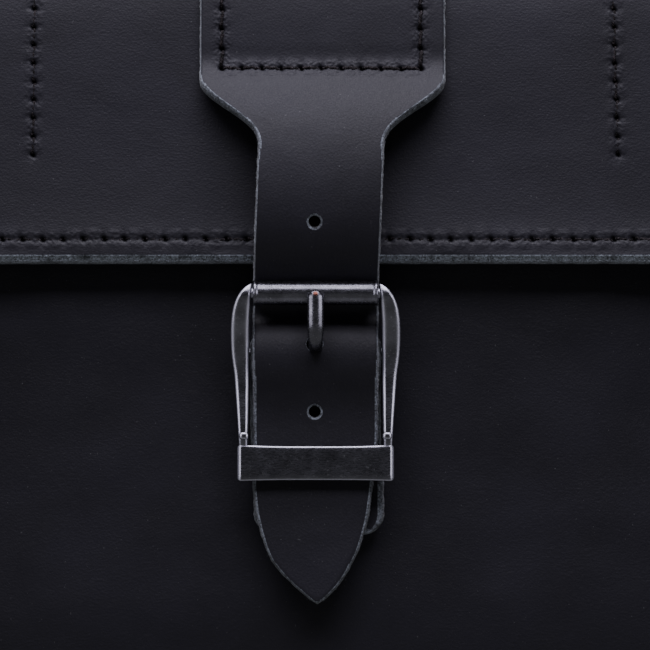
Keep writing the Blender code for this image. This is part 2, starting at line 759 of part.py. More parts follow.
def make_back_ring(name, x, height):
    """A closed loop of round wire that hangs from its upper bar."""
    half = RING_INSIDE[0] / 2 + RING_WIRE
    drop = RING_INSIDE[1] + 2 * RING_WIRE
    radius = 0.005
    corners = (
        (half - radius, -radius, 0), (-half + radius, -radius, 90),
        (-half + radius, radius - drop, 180), (half - radius, radius - drop, 270),
    )
    route = []
    for across, down, turn in corners:
        route += arc((x + across, height + down), radius, turn, turn + 90, 4)
    bm = bmesh.new()
    rings = []
    for index, here in enumerate(route):
        ahead = Vector(route[(index + 1) % len(route)])
        behind = Vector(route[index - 1])
        run = (ahead - behind).normalized()
        outward = Vector((run.y, -run.x))
        ring = []
        for step in range(8):
            angle = 2 * math.pi * step / 8
            place = Vector(here) + outward * (RING_WIRE * math.cos(angle))
            ring.append(bm.verts.new((place.x, RING_Y + RING_WIRE * math.sin(angle), place.y)))
        rings.append(ring)
    for index, ring in enumerate(rings):
        following = rings[(index + 1) % len(rings)]
        for step in range(8):
            after = (step + 1) % 8
            bm.faces.new((ring[step], ring[after], following[after], following[step]))
    metal = metal_material(f"ring_{name}")
    finish_object(f"back_ring_{name}", bm, metal, (x, RING_Y, height), smooth=True)


def make_back_fittings():
    """Four rings, each in a folded tab with two rivets."""
    outside = TAB_OUTER_LAYER + TAB_LEATHER / 2 + GAP
    inside = BACK_FACE - LEATHER - GAP - BOARD_THICKNESS - GAP
    for name, x, height in ring_places():
        make_ring_tab(name, x, height)
        make_back_ring(name, x, height)
        for side, shift in (("a", -RIVET_SPREAD), ("b", RIVET_SPREAD)):
            make_rivet(f"tab_rivet_{name}_{side}", x + shift, height + TAB_RIVET_RISE, outside, inside)


remove_everything()
make_front_panel()
make_back_panel()
make_gusset()
make_mouth_band()
make_back_board()
make_lid()
make_lid_lining()
make_lid_bands()
make_closure_strap()
make_buckle_frame()
make_buckle_roller()
make_buckle_prong()
make_chape()
make_chape_rivets()
make_back_fittings()
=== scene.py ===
"""The looks of the black leather saddlebag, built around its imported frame.

Metres, +Z up, the lid's front faces -Y. A side-view place is a (y, z) pair. Most leather
pieces are made by make_sheet: a dense, gently uneven grain side, rounded and frayed cut
edges and a coarse flesh side, laid along a curve (a Track) that is read from the frame.
"""

import json
import math
import random

import bmesh
import bpy
import numpy as np
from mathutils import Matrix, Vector, noise
from mathutils.bvhtree import BVHTree


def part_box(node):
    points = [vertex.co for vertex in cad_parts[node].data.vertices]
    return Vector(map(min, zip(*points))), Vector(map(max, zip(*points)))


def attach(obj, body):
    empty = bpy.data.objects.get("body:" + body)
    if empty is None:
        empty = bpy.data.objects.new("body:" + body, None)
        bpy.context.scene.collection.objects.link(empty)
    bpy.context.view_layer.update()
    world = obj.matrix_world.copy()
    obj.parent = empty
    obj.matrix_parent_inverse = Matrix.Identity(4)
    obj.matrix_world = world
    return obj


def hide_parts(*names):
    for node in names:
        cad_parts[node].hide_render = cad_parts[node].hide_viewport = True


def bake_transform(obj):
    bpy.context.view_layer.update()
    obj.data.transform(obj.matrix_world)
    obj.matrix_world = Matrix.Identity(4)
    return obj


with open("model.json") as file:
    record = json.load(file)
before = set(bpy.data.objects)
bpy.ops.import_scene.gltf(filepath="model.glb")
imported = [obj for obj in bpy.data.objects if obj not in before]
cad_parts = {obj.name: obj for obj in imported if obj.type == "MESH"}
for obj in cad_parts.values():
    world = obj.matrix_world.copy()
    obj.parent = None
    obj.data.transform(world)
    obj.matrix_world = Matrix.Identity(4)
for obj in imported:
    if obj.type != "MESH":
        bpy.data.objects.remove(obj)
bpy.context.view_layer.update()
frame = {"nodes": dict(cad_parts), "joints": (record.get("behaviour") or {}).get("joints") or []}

# Places and sizes read from the frame.
panel_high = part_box("front_panel")[1]
back_low, back_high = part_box("back_panel")
lid_low, lid_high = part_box("lid_leather")
lining_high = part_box("lid_lining")[1]
band_low, band_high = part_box("hinge_band")
strap_low, strap_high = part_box("closure_strap")
roller_low, roller_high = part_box("buckle_roller")
chape_low, chape_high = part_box("chape")
gusset_low, gusset_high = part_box("gusset")
axes = {joint["name"]: Vector(joint["pos_m"]) for joint in frame["joints"]}
lift_axis = axes["strap_lift"]
bar_axis = axes["buckle_tilt"]
roller_axis = axes["roller_spin"]
strap_x = bar_axis.x

LEATHER = back_high.y - back_low.y
LINING = 0.0018
GAP = 0.0003
CORNER_RADIUS = 0.030
FRONT_BULGE = 0.005
MM = 0.001
THREAD_RADIUS = 0.55 * MM
SEAM_REACH = 3.2 * MM
SEAM_CUTS = 3
# How deep in a cut edge its rings of points lie, as shares of the leather's thickness.
WALL_SHARES = (0.16, 0.38, 0.62, 0.84, 1.0)

random.seed(7)


# ---- Small helpers ----------------------------------------------------------------------


def smoothstep(value):
    """Ease from 0 to 1 with flat ends, for a number or an array."""
    t = np.clip(value, 0.0, 1.0)
    return t * t * (3.0 - 2.0 * t)


def smooth_curve(points, steps):
    """A Catmull-Rom curve through points of any dimension, as an array."""
    points = [np.array(point, float) for point in points]
    ends = [2 * points[0] - points[1]] + points + [2 * points[-1] - points[-2]]
    curve = []
    for a, b, c, d in zip(ends, ends[1:], ends[2:], ends[3:]):
        for step in range(steps):
            t = step / steps
            curve.append(
                0.5 * (2 * b + (c - a) * t + (2 * a - 5 * b + 4 * c - d) * t**2
                       + (3 * b - a - 3 * c + d) * t**3)
            )
    curve.append(points[-1])
    return np.array(curve)


def arc(centre, radius, start, end, count):
    """Points on an arc in a plane, angles in degrees."""
    angles = np.radians(np.linspace(start, end, count + 1))
    return [(centre[0] + radius * math.cos(a), centre[1] + radius * math.sin(a)) for a in angles]


def circle(count):
    """Evenly spaced angles round a full turn."""
    return np.linspace(0, 2 * math.pi, count, endpoint=False)


def wobble(a, b, size, seed=0.0):
    """Smooth noise from -1 to 1 over two coordinates, with features of a given size."""
    return noise.noise(Vector((a / size, b / size, seed)))


def wobble_grid(a, b, size, seed=0.0):
    """The same noise over two arrays of one shape."""
    flat = [wobble(x, y, size, seed) for x, y in zip(a.ravel(), b.ravel())]
    return np.array(flat).reshape(a.shape)


surfaces = {}


def ray(node, start, way):
    """Where a ray first meets a CAD node, or None."""
    if node not in surfaces:
        mesh = frame["nodes"][node].data
        corners = [vert.co for vert in mesh.vertices]
        faces = [face.vertices for face in mesh.polygons]
        surfaces[node] = BVHTree.FromPolygons(corners, faces)
    return surfaces[node].ray_cast(Vector(start), Vector(way))[0]


def outermost(nodes, x, centre, angle):
    """The outermost point of some nodes in one direction of the side view, as (y, z)."""
    way = Vector((0.0, math.cos(angle), math.sin(angle)))
    start = Vector((x, *centre)) + way * 0.4
    hits = [ray(node, start, -way) for node in nodes]
    hits = [hit for hit in hits if hit is not None]
    if not hits:
        return None
    nearest = min(hits, key=lambda hit: (hit - start).length)
    return nearest.y, nearest.z


class Track:
    """A curve in a plane, with its running length and its outer side on the left hand."""

    def __init__(self, points):
        self.points = np.array(points, float)
        runs = np.linalg.norm(np.diff(self.points, axis=0), axis=1)
        self.marks = np.concatenate([[0.0], np.cumsum(runs)])
        self.length = self.marks[-1]
        tangents = np.gradient(self.points, self.marks, axis=0)
        tangents /= np.linalg.norm(tangents, axis=1)[:, None]
        self.normals = np.stack([tangents[:, 1], -tangents[:, 0]], axis=1)

    def at(self, s):
        """Points and outward normals at lengths s."""
        place = np.stack([np.interp(s, self.marks, self.points[:, k]) for k in (0, 1)], -1)
        normal = np.stack([np.interp(s, self.marks, self.normals[:, k]) for k in (0, 1)], -1)
        return place, normal / np.linalg.norm(normal, axis=-1)[..., None]

    def down_to(self, height):
        """The last length at which the curve is still at or above a height."""
        above = np.flatnonzero(self.points[:, 1] >= height)[-1]
        if above + 1 >= len(self.points):
            return self.length
        part = (self.points[above, 1] - height) / (self.points[above, 1] - self.points[above + 1, 1])
        return self.marks[above] + part * (self.marks[above + 1] - self.marks[above])

    def moved(self, distance):
        """The same curve, moved outward."""
        return Track(self.points + self.normals * distance)


# ---- Materials --------------------------------------------------------------------------


def grey(value, warmth=0.0, cold=0.0):
    """A nearly grey linear colour."""
    return (value * (1 + warmth), value, value * (1 + cold), 1.0)


class Paint:
    """A material being built, with short ways to add shader nodes to it."""

    def __init__(self, name):
        self.material = bpy.data.materials.new(name)
        self.material.use_nodes = True
        self.tree = self.material.node_tree

    def fill(self, node, inputs):
        """Set a node's inputs; each is a value or another node's socket."""
        for key, value in inputs.items():
            if isinstance(value, bpy.types.NodeSocket):
                self.tree.links.new(value, node.inputs[key])
            else:
                node.inputs[key].default_value = value

    def add(self, kind, inputs=None, **settings):
        """A shader node with its settings and inputs."""
        node = self.tree.nodes.new(kind)
        for key, value in settings.items():
            setattr(node, key, value)
        self.fill(node, inputs or {})
        return node

    def places(self, stretch=(1.0, 1.0, 1.0)):
        """Coordinates in metres on the piece, stretched if asked."""
        where = self.add("ShaderNodeTexCoord").outputs["Object"]
        return self.add("ShaderNodeMapping", {"Vector": where, "Scale": stretch}).outputs["Vector"]

    def noise(self, where, scale, detail=3.0, distortion=0.0):
        """A noise factor from 0 to 1."""
        inputs = {"Vector": where, "Scale": scale, "Detail": detail, "Distortion": distortion}
        return self.add("ShaderNodeTexNoise", inputs).outputs["Fac"]

    def mark(self, name):
        """A number that the mesh holds for each vertex."""
        return self.add("ShaderNodeAttribute", attribute_name=name).outputs["Fac"]

    def remap(self, value, low, high, new_low, new_high):
        """A value stretched from one range to another, clamped."""
        ends = {"From Min": low, "From Max": high, "To Min": new_low, "To Max": new_high}
        return self.add("ShaderNodeMapRange", {"Value": value, **ends}).outputs["Result"]

    def mix(self, factor, first, second):
        """Two colours mixed by a factor."""
        return self.add("ShaderNodeMix", {0: factor, 6: first, 7: second}, data_type="RGBA").outputs[2]

    def fade(self, value, low, high, first, second, most=1.0):
        """From one colour towards another while a value rises from low to high."""
        return self.mix(self.remap(value, low, high, 0.0, most), first, second)

    def bumps(self, *layers):
        """Bump layers of (height, depth in metres, strength) on top of each other."""
        normal = None
        for height, depth, strength in layers:
            inputs = {"Height": height, "Distance": depth, "Strength": strength}
            if normal is not None:
                inputs["Normal"] = normal
            normal = self.add("ShaderNodeBump", inputs).outputs["Normal"]
        return normal

    def finished(self, inputs):
        """The material, with the inputs of its main shader filled in."""
        self.fill(self.tree.nodes["Principled BSDF"], inputs)
        return self.material


def leather_material(name, tone, rough=(0.46, 0.62), streaks=(1.0, 1.0, 5.0)):
    """Heavy black leather: pores, fine creases, brushed streaks, uneven dye, a few dust specks and painted
    shade in stitch holes and seam grooves.
    """
    paint = Paint(name)
    plain = paint.places()
    pores = paint.add("ShaderNodeTexVoronoi", {"Vector": plain, "Scale": 1300.0}).outputs["Distance"]
    fine = paint.noise(plain, 2600.0, 4.0)
    creases = paint.noise(paint.places(streaks), 480.0, 8.0, 0.5)
    swell = paint.noise(plain, 95.0)
    patches = paint.noise(plain, 26.0, 5.0, 0.5)
    specks = paint.noise(plain, 1700.0, 0.0)
    # Painted shade: stitch holes and seam grooves turned nearly black, with less specular.
    pit = paint.mark("pit")
    colour = paint.fade(patches, 0.3, 0.7, grey(tone * 0.86, 0.06, 0.42), grey(tone * 1.2, 0.06, 0.50))
    colour = paint.fade(creases, 0.55, 0.8, colour, grey(tone * 2.2, 0.03, 0.22), most=0.45)
    colour = paint.fade(specks, 0.845, 0.88, colour, grey(0.16, 0.0, 0.06), most=0.6)
    return paint.finished({
        "Base Color": paint.mix(pit, colour, grey(0.0012)),
        "Roughness": paint.remap(fine, 0.3, 0.7, *rough),
        "Normal": paint.bumps(
            (swell, 0.0004, 0.3), (creases, 0.00013, 0.4), (pores, 0.0001, 0.5), (fine, 0.00008, 0.6),
        ),
        "Specular IOR Level": paint.remap(pit, 0.0, 0.8, 0.42, 0.0),
        "Sheen Weight": 0.08,
        "Sheen Roughness": 0.5,
    })


def raw_edge_material(name, light):
    """A cut leather edge: pale, fibrous, greenish grey, darker where dye soaked in."""
    paint = Paint(name)
    where = paint.places()
    fibres = paint.noise(where, 1500.0, 6.0, 0.8)
    soaked = paint.noise(where, 260.0, 4.0, 0.4)
    dark, pale = grey(light * 0.25, -0.06, 0.12), grey(light * 1.35, -0.10, 0.16)
    colour = paint.fade(fibres, 0.35, 0.68, dark, pale)
    return paint.finished({
        "Base Color": paint.fade(soaked, 0.5, 0.72, colour, grey(0.02, 0.0, 0.15), most=0.75),
        "Normal": paint.bumps((soaked, 0.0005, 0.5), (fibres, 0.0004, 0.9)),
        "Roughness": 0.92,
        "Sheen Weight": 0.35,
    })


def flesh_material(name, tone=0.02):
    """The napped flesh side of dyed leather."""
    paint = Paint(name)
    where = paint.places()
    nap = paint.noise(where, 900.0, 6.0, 0.7)
    patches = paint.noise(where, 60.0, 4.0)
    colour = paint.mix(nap, grey(tone * 0.5), grey(tone * 1.6, 0.0, 0.1))
    return paint.finished({
        "Base Color": paint.fade(patches, 0.3, 0.7, colour, grey(tone * 0.6), most=0.5),
        "Normal": paint.bumps((nap, 0.0004, 0.8)),
        "Roughness": 0.9,
        "Sheen Weight": 0.25,
    })


def thread_material():
    """Waxed black thread with a little fuzz."""
    paint = Paint("waxed_thread")
    plies = paint.noise(paint.places(), 2400.0, 4.0, 1.0)
    return paint.finished({
        "Base Color": paint.fade(plies, 0.45, 0.72, grey(0.003, 0.1, 0.0), grey(0.09, 0.2, 0.1)),
        "Normal": paint.bumps((plies, 0.0003, 0.8)),
        "Roughness": 0.85,
        "Specular IOR Level": 0.2,
    })


def metal_material(name, copper_at=None):
    """Black nickel: dark mirror, with painted highlights on edges that half face the front; copper shows in
    a worn spot if asked.
    """
    paint = Paint(name)
    where = paint.places()
    clouds = paint.noise(where, 210.0, 5.0)
    scratches = paint.noise(paint.places((1.0, 1.0, 7.0)), 900.0, 6.0, 0.4)
    specks = paint.noise(where, 1400.0)
    # Painted highlight: metal lighter and rougher on edges that half face the front, standing in for bright
    # reflected lines.
    painted_highlight = paint.mark("rub")
    colour = paint.fade(clouds, 0.3, 0.7, grey(0.13, 0.0, 0.12), grey(0.22, 0.0, 0.14))
    colour = paint.fade(specks, 0.62, 0.75, colour, grey(0.6, 0.0, 0.08), most=0.5)
    colour = paint.mix(painted_highlight, colour, grey(0.70, 0.0, 0.12))
    if copper_at is not None:
        away = paint.add("ShaderNodeVectorMath", {0: where, 1: copper_at}, operation="DISTANCE")
        spot = paint.remap(away.outputs["Value"], 0.0006, 0.0010, 1.0, 0.0)
        colour = paint.mix(spot, colour, (0.16, 0.062, 0.045, 1.0))
    smooth = paint.remap(scratches, 0.3, 0.75, 0.20, 0.36)
    rough = paint.add("ShaderNodeMath", {0: painted_highlight, 1: 0.20, 2: smooth}, operation="MULTIPLY_ADD")
    return paint.finished({
        "Base Color": colour,
        "Metallic": 1.0,
        "Roughness": rough.outputs[0],
        "Normal": paint.bumps((clouds, 0.0001, 0.25), (scratches, 0.00003, 0.5)),
    })


def board_material():
    """Pressed dark board."""
    paint = Paint("board")
    chips = paint.noise(paint.places(), 420.0, 6.0, 0.3)
    return paint.finished({
        "Base Color": paint.mix(chips, grey(0.018), grey(0.06)),
        "Normal": paint.bumps((chips, 0.0002, 0.6)),
        "Roughness": 0.8,
    })


LID_PAINT = leather_material("lid_grain", tone=0.0195)
STRAP_PAINT = leather_material("strap_grain", tone=0.019, rough=(0.52, 0.66), streaks=(3.0, 1.0, 1.0))
POUCH_PAINT = leather_material("pouch_grain", tone=0.0165, rough=(0.42, 0.56), streaks=(1.0, 1.0, 3.0))
RAW_PAINT = raw_edge_material("raw_edge", light=0.36)
# Painted light: a brighter copy of the raw edge for the lid's cut edges, since the hem's edge faces down
# and gets little lamp light.
HEM_EDGE_LIT_PAINT = raw_edge_material("hem_edge", light=0.62)
DARK_EDGE_PAINT = raw_edge_material("dark_raw_edge", light=0.035)
FLESH_PAINT = flesh_material("flesh_side")
THREAD_PAINT = thread_material()
METAL_PAINT = metal_material("black_nickel_cast")
BOARD_PAINT = board_material()


# ---- Leather sheets ---------------------------------------------------------------------


def distance_to_run(s, x, holes):
    """Distance to a row of holes, and how far along its stretch the nearest point is."""
    best = np.full(s.shape, 1.0)
    along = np.zeros(s.shape)
    for (s0, x0), (s1, x1) in zip(holes, holes[1:]):
        run = np.array([s1 - s0, x1 - x0])
        t = np.clip(((s - s0) * run[0] + (x - x0) * run[1]) / (run @ run), 0.0, 1.0)
        gap = np.hypot(s - s0 - t * run[0], x - x0 - t * run[1])
        nearer = gap < best
        best = np.where(nearer, gap, best)
        along = np.where(nearer, t, along)
    return best, along


def seam_relief(s, x, seams, depth=1.0):
    """Height change round stitch rows, and the painted shade of each point: strongest deep in a stitch
    hole, faint along the row's groove.
    """
    relief = np.zeros(s.shape)
    pit = np.zeros(s.shape)
    for holes in seams:
        gap, along = distance_to_run(s, x, holes)
        near = np.flatnonzero(gap < SEAM_REACH)
        gap, along, s_near, x_near = gap[near], along[near], s[near], x[near]
        middle = np.sin(np.pi * along)
        wrinkles = wobble_grid(s_near, x_near, 0.9 * MM, holes[0][1])
        groove = -0.20 * MM * np.exp(-((gap / (0.7 * MM)) ** 2))
        banks = np.exp(-(((gap - 2.1 * MM) / (1.0 * MM)) ** 2)) * (0.20 * middle - 0.06) * MM
        puckers = wrinkles * 0.30 * MM * np.exp(-((gap / (2.4 * MM)) ** 2))
        relief[near] += (groove + banks + puckers) * depth
        # Painted shade: a faint dark line along the groove.
        pit[near] = np.maximum(pit[near], 0.22 * np.exp(-((gap / (0.4 * MM)) ** 2)))
        for s0, x0 in holes:
            slant = (s_near - s0 + x_near - x0) / (1.5 * MM)
            across = (s_near - s0 - x_near + x0) / (1.15 * MM)
            reach = slant**2 + across**2
            relief[near] -= 1.1 * MM * np.exp(-reach)
            # Painted shade: dark inside each stitch hole.
            pit[near] = np.maximum(pit[near], np.exp(-(reach**2) * 0.9))
    return relief, pit


def rolled(distance, radius):
    """How far the surface has dropped near an edge that is rounded with that radius."""
    near = np.clip(radius - distance, 0.0, radius)
    return radius - np.sqrt(radius**2 - near**2)


def side_place(x, place, depth, normal):
    """World points of a sheet whose curve lies in the side view."""
    y = place[..., 0] - normal[..., 0] * depth
    z = place[..., 1] - normal[..., 1] * depth
    return np.stack([x + 0 * y, y, z], -1)


def edge_dense(start, end, step, edge=(0.0, 0.22, 0.55, 1.0, 1.7)):
    """Places from start to end about a step apart, closer together at both ends."""
    width = end - start
    edge = np.array(edge) * MM * min(1.0, width / 0.012)
    count = max(int(round((width - 2 * edge[-1]) / step)), 1) + 1
    inner = np.linspace(start + edge[-1], end - edge[-1], count)
    return np.concatenate([start + edge[:-1], inner, (end - edge[:-1])[::-1]])


def flat_grid(stations, edges, step, seams, punches):
    """A flat (s, x) mesh, finer along stitch rows and punched holes, with its base grid."""
    widest = max(edges(s)[1] - edges(s)[0] for s in stations)
    shares = edge_dense(0.0, widest, step) / widest
    work = bmesh.new()
    for s in stations:
        left, right = edges(s)
        for share in shares:
            work.verts.new((s, left + (right - left) * share, 0.0))
    work.verts.ensure_lookup_table()
    grid = np.arange(len(work.verts)).reshape(len(stations), len(shares))
    for low, high in zip(grid, grid[1:]):
        for k in range(len(shares) - 1):
            corners = (low[k], low[k + 1], high[k + 1], high[k])
            work.faces.new([work.verts[int(corner)] for corner in corners])
    work.faces.ensure_lookup_table()
    centres = np.array([face.calc_center_median() for face in work.faces])
    near = np.zeros(len(centres), bool)
    for holes in seams:
        near |= distance_to_run(centres[:, 0], centres[:, 1], holes)[0] < SEAM_REACH
    for mark, middle, _, ring in punches:
        near |= np.hypot(centres[:, 0] - mark, centres[:, 1] - middle) < ring + 1.2 * MM
    chosen = []
    seen = set()
    work.edges.index_update()
    for k in np.flatnonzero(near):
        for edge in work.faces[int(k)].edges:
            if edge.index not in seen and not edge.is_boundary:
                seen.add(edge.index)
                chosen.append(edge)
    if chosen:
        bmesh.ops.subdivide_edges(work, edges=chosen, cuts=SEAM_CUTS, use_grid_fill=True)
    work.verts.index_update()
    flat = np.array([vert.co[:2] for vert in work.verts])
    faces = [[vert.index for vert in face.verts] for face in work.faces]
    work.free()
    return flat, faces, grid


def rim_of(grid):
    """The base grid's outline, in order, with the direction out of the sheet at each vertex."""
    rim = [(k, (-1, 0)) for k in grid[0]]
    rim += [(k, (0, 1)) for k in grid[1:-1, -1]]
    rim += [(k, (1, 0)) for k in grid[-1, ::-1]]
    rim += [(k, (0, -1)) for k in grid[-2:0:-1, 0]]
    return rim


def room_inside(s, x, stations, edges):
    """How far each point of a sheet is from its outline."""
    limits = np.array([edges(value) for value in stations])
    left = np.interp(s, stations, limits[:, 0])
    right = np.interp(s, stations, limits[:, 1])
    inside = np.minimum(np.minimum(x - left, right - x), np.minimum(s - stations[0], stations[-1] - s))
    return np.clip(inside, 0.0, None)


def wall_rings(track, rim, flat, drop, both, thickness, fray, bevel, seed):
    """Rings of points down the rough cut edge, from the grain side to the flesh side."""
    index = np.array([k for k, _ in rim])
    way = np.array([out for _, out in rim], float)
    s, x = flat[index, 0], flat[index, 1]
    rings = []
    for share in WALL_SHARES:
        depth = drop[index] * (1 - share) + thickness * share
        wave = wobble_grid(s + x, depth * 3, 0.8 * MM, seed)
        wave += 0.6 * wobble_grid(s + x, depth, 3 * MM, seed + 5)
        bulge = 4 * share * (1 - share)
        out = fray * (wave + 1.2 * bulge) * (1.0 if share < 1 else 0.3)
        out = out + np.where(way[:, 0] > 0, bevel * share**0.35, 0.0)
        wall_s = s + way[:, 0] * out
        spot, normal = track.at(wall_s)
        past = np.clip(wall_s - track.length, 0, None) - np.clip(-wall_s, 0, None)
        tangent = np.stack([-normal[:, 1], normal[:, 0]], -1)
        spot = spot + tangent * past[:, None]
        rings.append(side_place(x + way[:, 1] * out, spot, depth - both[index], normal))
    return rings


def add_wall_faces(faces, before, start):
    """Faces down the cut edge from its outline to each ring; returns the last ring's vertices."""
    count = len(before)
    for _ in WALL_SHARES:
        ring = np.arange(start, start + count)
        for k in range(count):
            after = (k + 1) % count
            faces.append([before[after], before[k], ring[k], ring[after]])
        before = ring
        start += count
    return before


def add_flesh_faces(faces, grid, under, columns):
    """The flesh side's faces: coarse inside, but meeting every vertex of the cut edge."""
    last = len(grid) - 1
    for row in range(last):
        for first, second in zip(columns, columns[1:]):
            low = range(first, second + 1) if row == 0 else (first, second)
            high = range(first, second + 1) if row + 1 == last else (first, second)
            near = [under[grid[row][k]] for k in low]
            faces.append(near[::-1] + [under[grid[row + 1][k]] for k in high])


def make_sheet(name, track, stations, edges, thickness, paints, step=1.6 * MM, seams=(), form=None,
               detail=None, roll=0.8 * MM, fray=0.12 * MM, raw=0.35 * MM, flesh_every=8, seed=1.0,
               unevenness=0.25 * MM, seam_depth=1.0, punches=(), bevel=0.0):
    """A leather sheet along a side-view track, with worked seams and rough cut edges.

    form(s, x) moves both sides outward, detail(s, x) only the grain side. Faces use three
    paints: grain, cut edge and flesh side. A punch is (s, x, radius, radius of its raw rim).
    """
    flat, faces, grid = flat_grid(stations, edges, step, seams, punches)
    s, x = flat[:, 0], flat[:, 1]
    inside = room_inside(s, x, stations, edges)
    both = form(s, x) if form else np.zeros(s.shape)
    relief, pit = seam_relief(s, x, seams, seam_depth)
    relief += unevenness * wobble_grid(s, x, 31 * MM, seed)
    relief += 0.3 * unevenness * wobble_grid(s, x, 9 * MM, seed)
    if detail:
        relief += detail(s, x)
    punched = np.zeros(s.shape)
    for mark, middle, hole, ring in punches:
        slope = np.clip((ring - np.hypot(s - mark, x - middle)) / (ring - hole), 0.0, 1.2)
        relief -= 0.45 * MM * slope
        punched = np.maximum(punched, slope)
    drop = np.clip(rolled(inside, roll) - relief * smoothstep(inside / (2 * MM)), None, 0.8 * thickness)
    spot, normal = track.at(s)
    points = [side_place(x, spot, drop - both, normal)]
    rim = rim_of(grid)
    points += wall_rings(track, rim, flat, drop, both, thickness, fray, bevel, seed)

    width = raw(np.array([s[face].mean() for face in faces])) if callable(raw) else raw
    near_edge = np.array([inside[face].mean() for face in faces]) < width
    near_punch = np.array([punched[face].mean() for face in faces]) > 0.08
    kinds = (near_edge | near_punch).astype(int).tolist()
    rim_index = np.array([k for k, _ in rim])
    lowest = add_wall_faces(faces, rim_index, len(flat))
    kinds += [1] * (len(faces) - len(kinds))

    under = dict(zip(rim_index, lowest))
    columns = list(range(0, len(grid[0]) - 1, flesh_every)) + [len(grid[0]) - 1]
    inner = grid[1:-1, columns[1:-1]].ravel()
    if len(inner):
        spot, normal = track.at(s[inner])
        points.append(side_place(x[inner], spot, thickness - both[inner], normal))
        first = lowest[-1] + 1
        under.update(zip(inner, range(first, first + len(inner))))
    add_flesh_faces(faces, grid, under, columns)
    kinds += [2] * (len(faces) - len(kinds))

    mesh = bpy.data.meshes.new(name)
    mesh.from_pydata(np.concatenate(points).tolist(), [], [[int(k) for k in face] for face in faces])
    mesh.polygons.foreach_set("material_index", kinds)
    for paint in paints:
        mesh.materials.append(paint)
    # The painted shade of stitch holes and grooves, for the grain material to read.
    dark = np.zeros(len(mesh.vertices))
    dark[:len(pit)] = pit
    mark_points(mesh, "pit", dark)
    return link_piece(name, mesh)


def link(name, data):
    """An object in the scene for some mesh, light or camera."""
    thing = bpy.data.objects.new(name, data)
    bpy.context.scene.collection.objects.link(thing)
    return thing


def mesh_from(work, name, paint):
    """A mesh with one paint from a bmesh, which is used up."""
    mesh = bpy.data.meshes.new(name)
    work.to_mesh(mesh)
    work.free()
    mesh.materials.append(paint)
    return mesh


def mark_points(mesh, name, values):
    """Give every vertex of a mesh a number that its material reads."""
    mesh.attributes.new(name, "FLOAT", "POINT").data.foreach_set("value", values.astype(np.float32))


def link_piece(name, mesh, sharp=50):
    """An object for a mesh, facing out and shaded smooth."""
    work = bmesh.new()
    work.from_mesh(mesh)
    bmesh.ops.recalc_face_normals(work, faces=work.faces)
    work.to_mesh(mesh)
    work.free()
    mesh.shade_smooth()
    mesh.set_sharp_from_angle(angle=math.radians(sharp))
    return link(name, mesh)


def finish_piece(piece, body, slot, *nodes):
    """Let a piece ride on a body and stand for CAD nodes."""
    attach(piece, body)
    if nodes:
        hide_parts(*nodes)
    return piece


def cut_with(piece, cutters, folded=False):
    """Cut closed shapes out of a piece and apply the cut; a folded piece touches itself."""
    for cutter in cutters:
        step = piece.modifiers.new(cutter.name, "BOOLEAN")
        step.use_self = folded
        step.operation = "DIFFERENCE"
        step.solver = "EXACT"
        step.material_mode = "TRANSFER"
        step.object = cutter
    bpy.context.view_layer.update()
    baked = bpy.data.meshes.new_from_object(piece.evaluated_get(bpy.context.evaluated_depsgraph_get()))
    piece.modifiers.clear()
    piece.data = baked
    for cutter in cutters:
        bpy.data.objects.remove(cutter, do_unlink=True)


# ---- Thread and fibres ------------------------------------------------------------------


def tube_faces(rings, sides):
    """Quads between rings of a tube, plus its two ends."""
    faces = []
    for ring in range(rings - 1):
        for k in range(sides):
            after = (k + 1) % sides
            base = ring * sides
            faces.append((base + k, base + after, base + sides + after, base + sides + k))
    faces.append(tuple(range(sides)))
    faces.append(tuple(range((rings - 1) * sides, rings * sides)))
    return faces


def small_parts(name, points, faces, paint, body, sharp):
    """One piece for many small parts, such as stitches or fibres."""
    mesh = bpy.data.meshes.new(name)
    mesh.from_pydata([tuple(point) for point in points], [], faces)
    mesh.materials.append(paint)
    return finish_piece(link_piece(name, mesh, sharp=sharp), body, "black_leather")


def thread_stitch(start, end, normal, rise):
    """One stitch between two holes: a twisted tube that dives into both, set a little askew."""
    start, end, normal = Vector(start), Vector(end), Vector(normal)
    run = end - start
    sideways = run.cross(normal).normalized()
    points = []
    steps, sides = 14, 8
    turn = random.uniform(0.0, math.pi)
    for step in range(steps + 1):
        t = step / steps
        height = -1.0 * MM + (rise + 1.0 * MM) * float(smoothstep(min(t, 1 - t) / 0.22))
        middle = start + run * (0.06 + 0.88 * t) + normal * height + sideways * ((t - 0.5) * 0.6 * MM)
        spin = turn + t * 2.6 * math.pi
        for k in range(sides):
            angle = 2 * math.pi * k / sides
            radius = THREAD_RADIUS * (1.0 + 0.24 * math.cos(2 * (angle - spin)))
            across, up = radius * math.cos(angle), radius * math.sin(angle)
            points.append(middle + sideways * across + normal * up)
    return points, tube_faces(steps + 1, sides)


def holes_in_space(track, holes, form=None):
    """World points and outward directions of (s, x) holes on a sheet."""
    found = []
    for s, x in holes:
        spot, normal = track.at(np.array(s))
        lift = form(np.array([s]), np.array([x]))[0] if form else 0.0
        point = side_place(np.array(x), spot, np.array(-lift), normal)
        found.append((Vector(point), Vector((0.0, normal[0], normal[1]))))
    return found


def make_threads(name, rows, body, rise=-0.25 * MM):
    """One piece with all stitches of some rows of (point, outward direction) holes."""
    points, faces = [], []
    for holes in rows:
        for (a, normal_a), (b, normal_b) in zip(holes, holes[1:]):
            more, quads = thread_stitch(a, b, (normal_a + normal_b).normalized(), rise)
            faces += [tuple(index + len(points) for index in quad) for quad in quads]
            points += more
    return small_parts(name, points, faces, THREAD_PAINT, body, sharp=80)


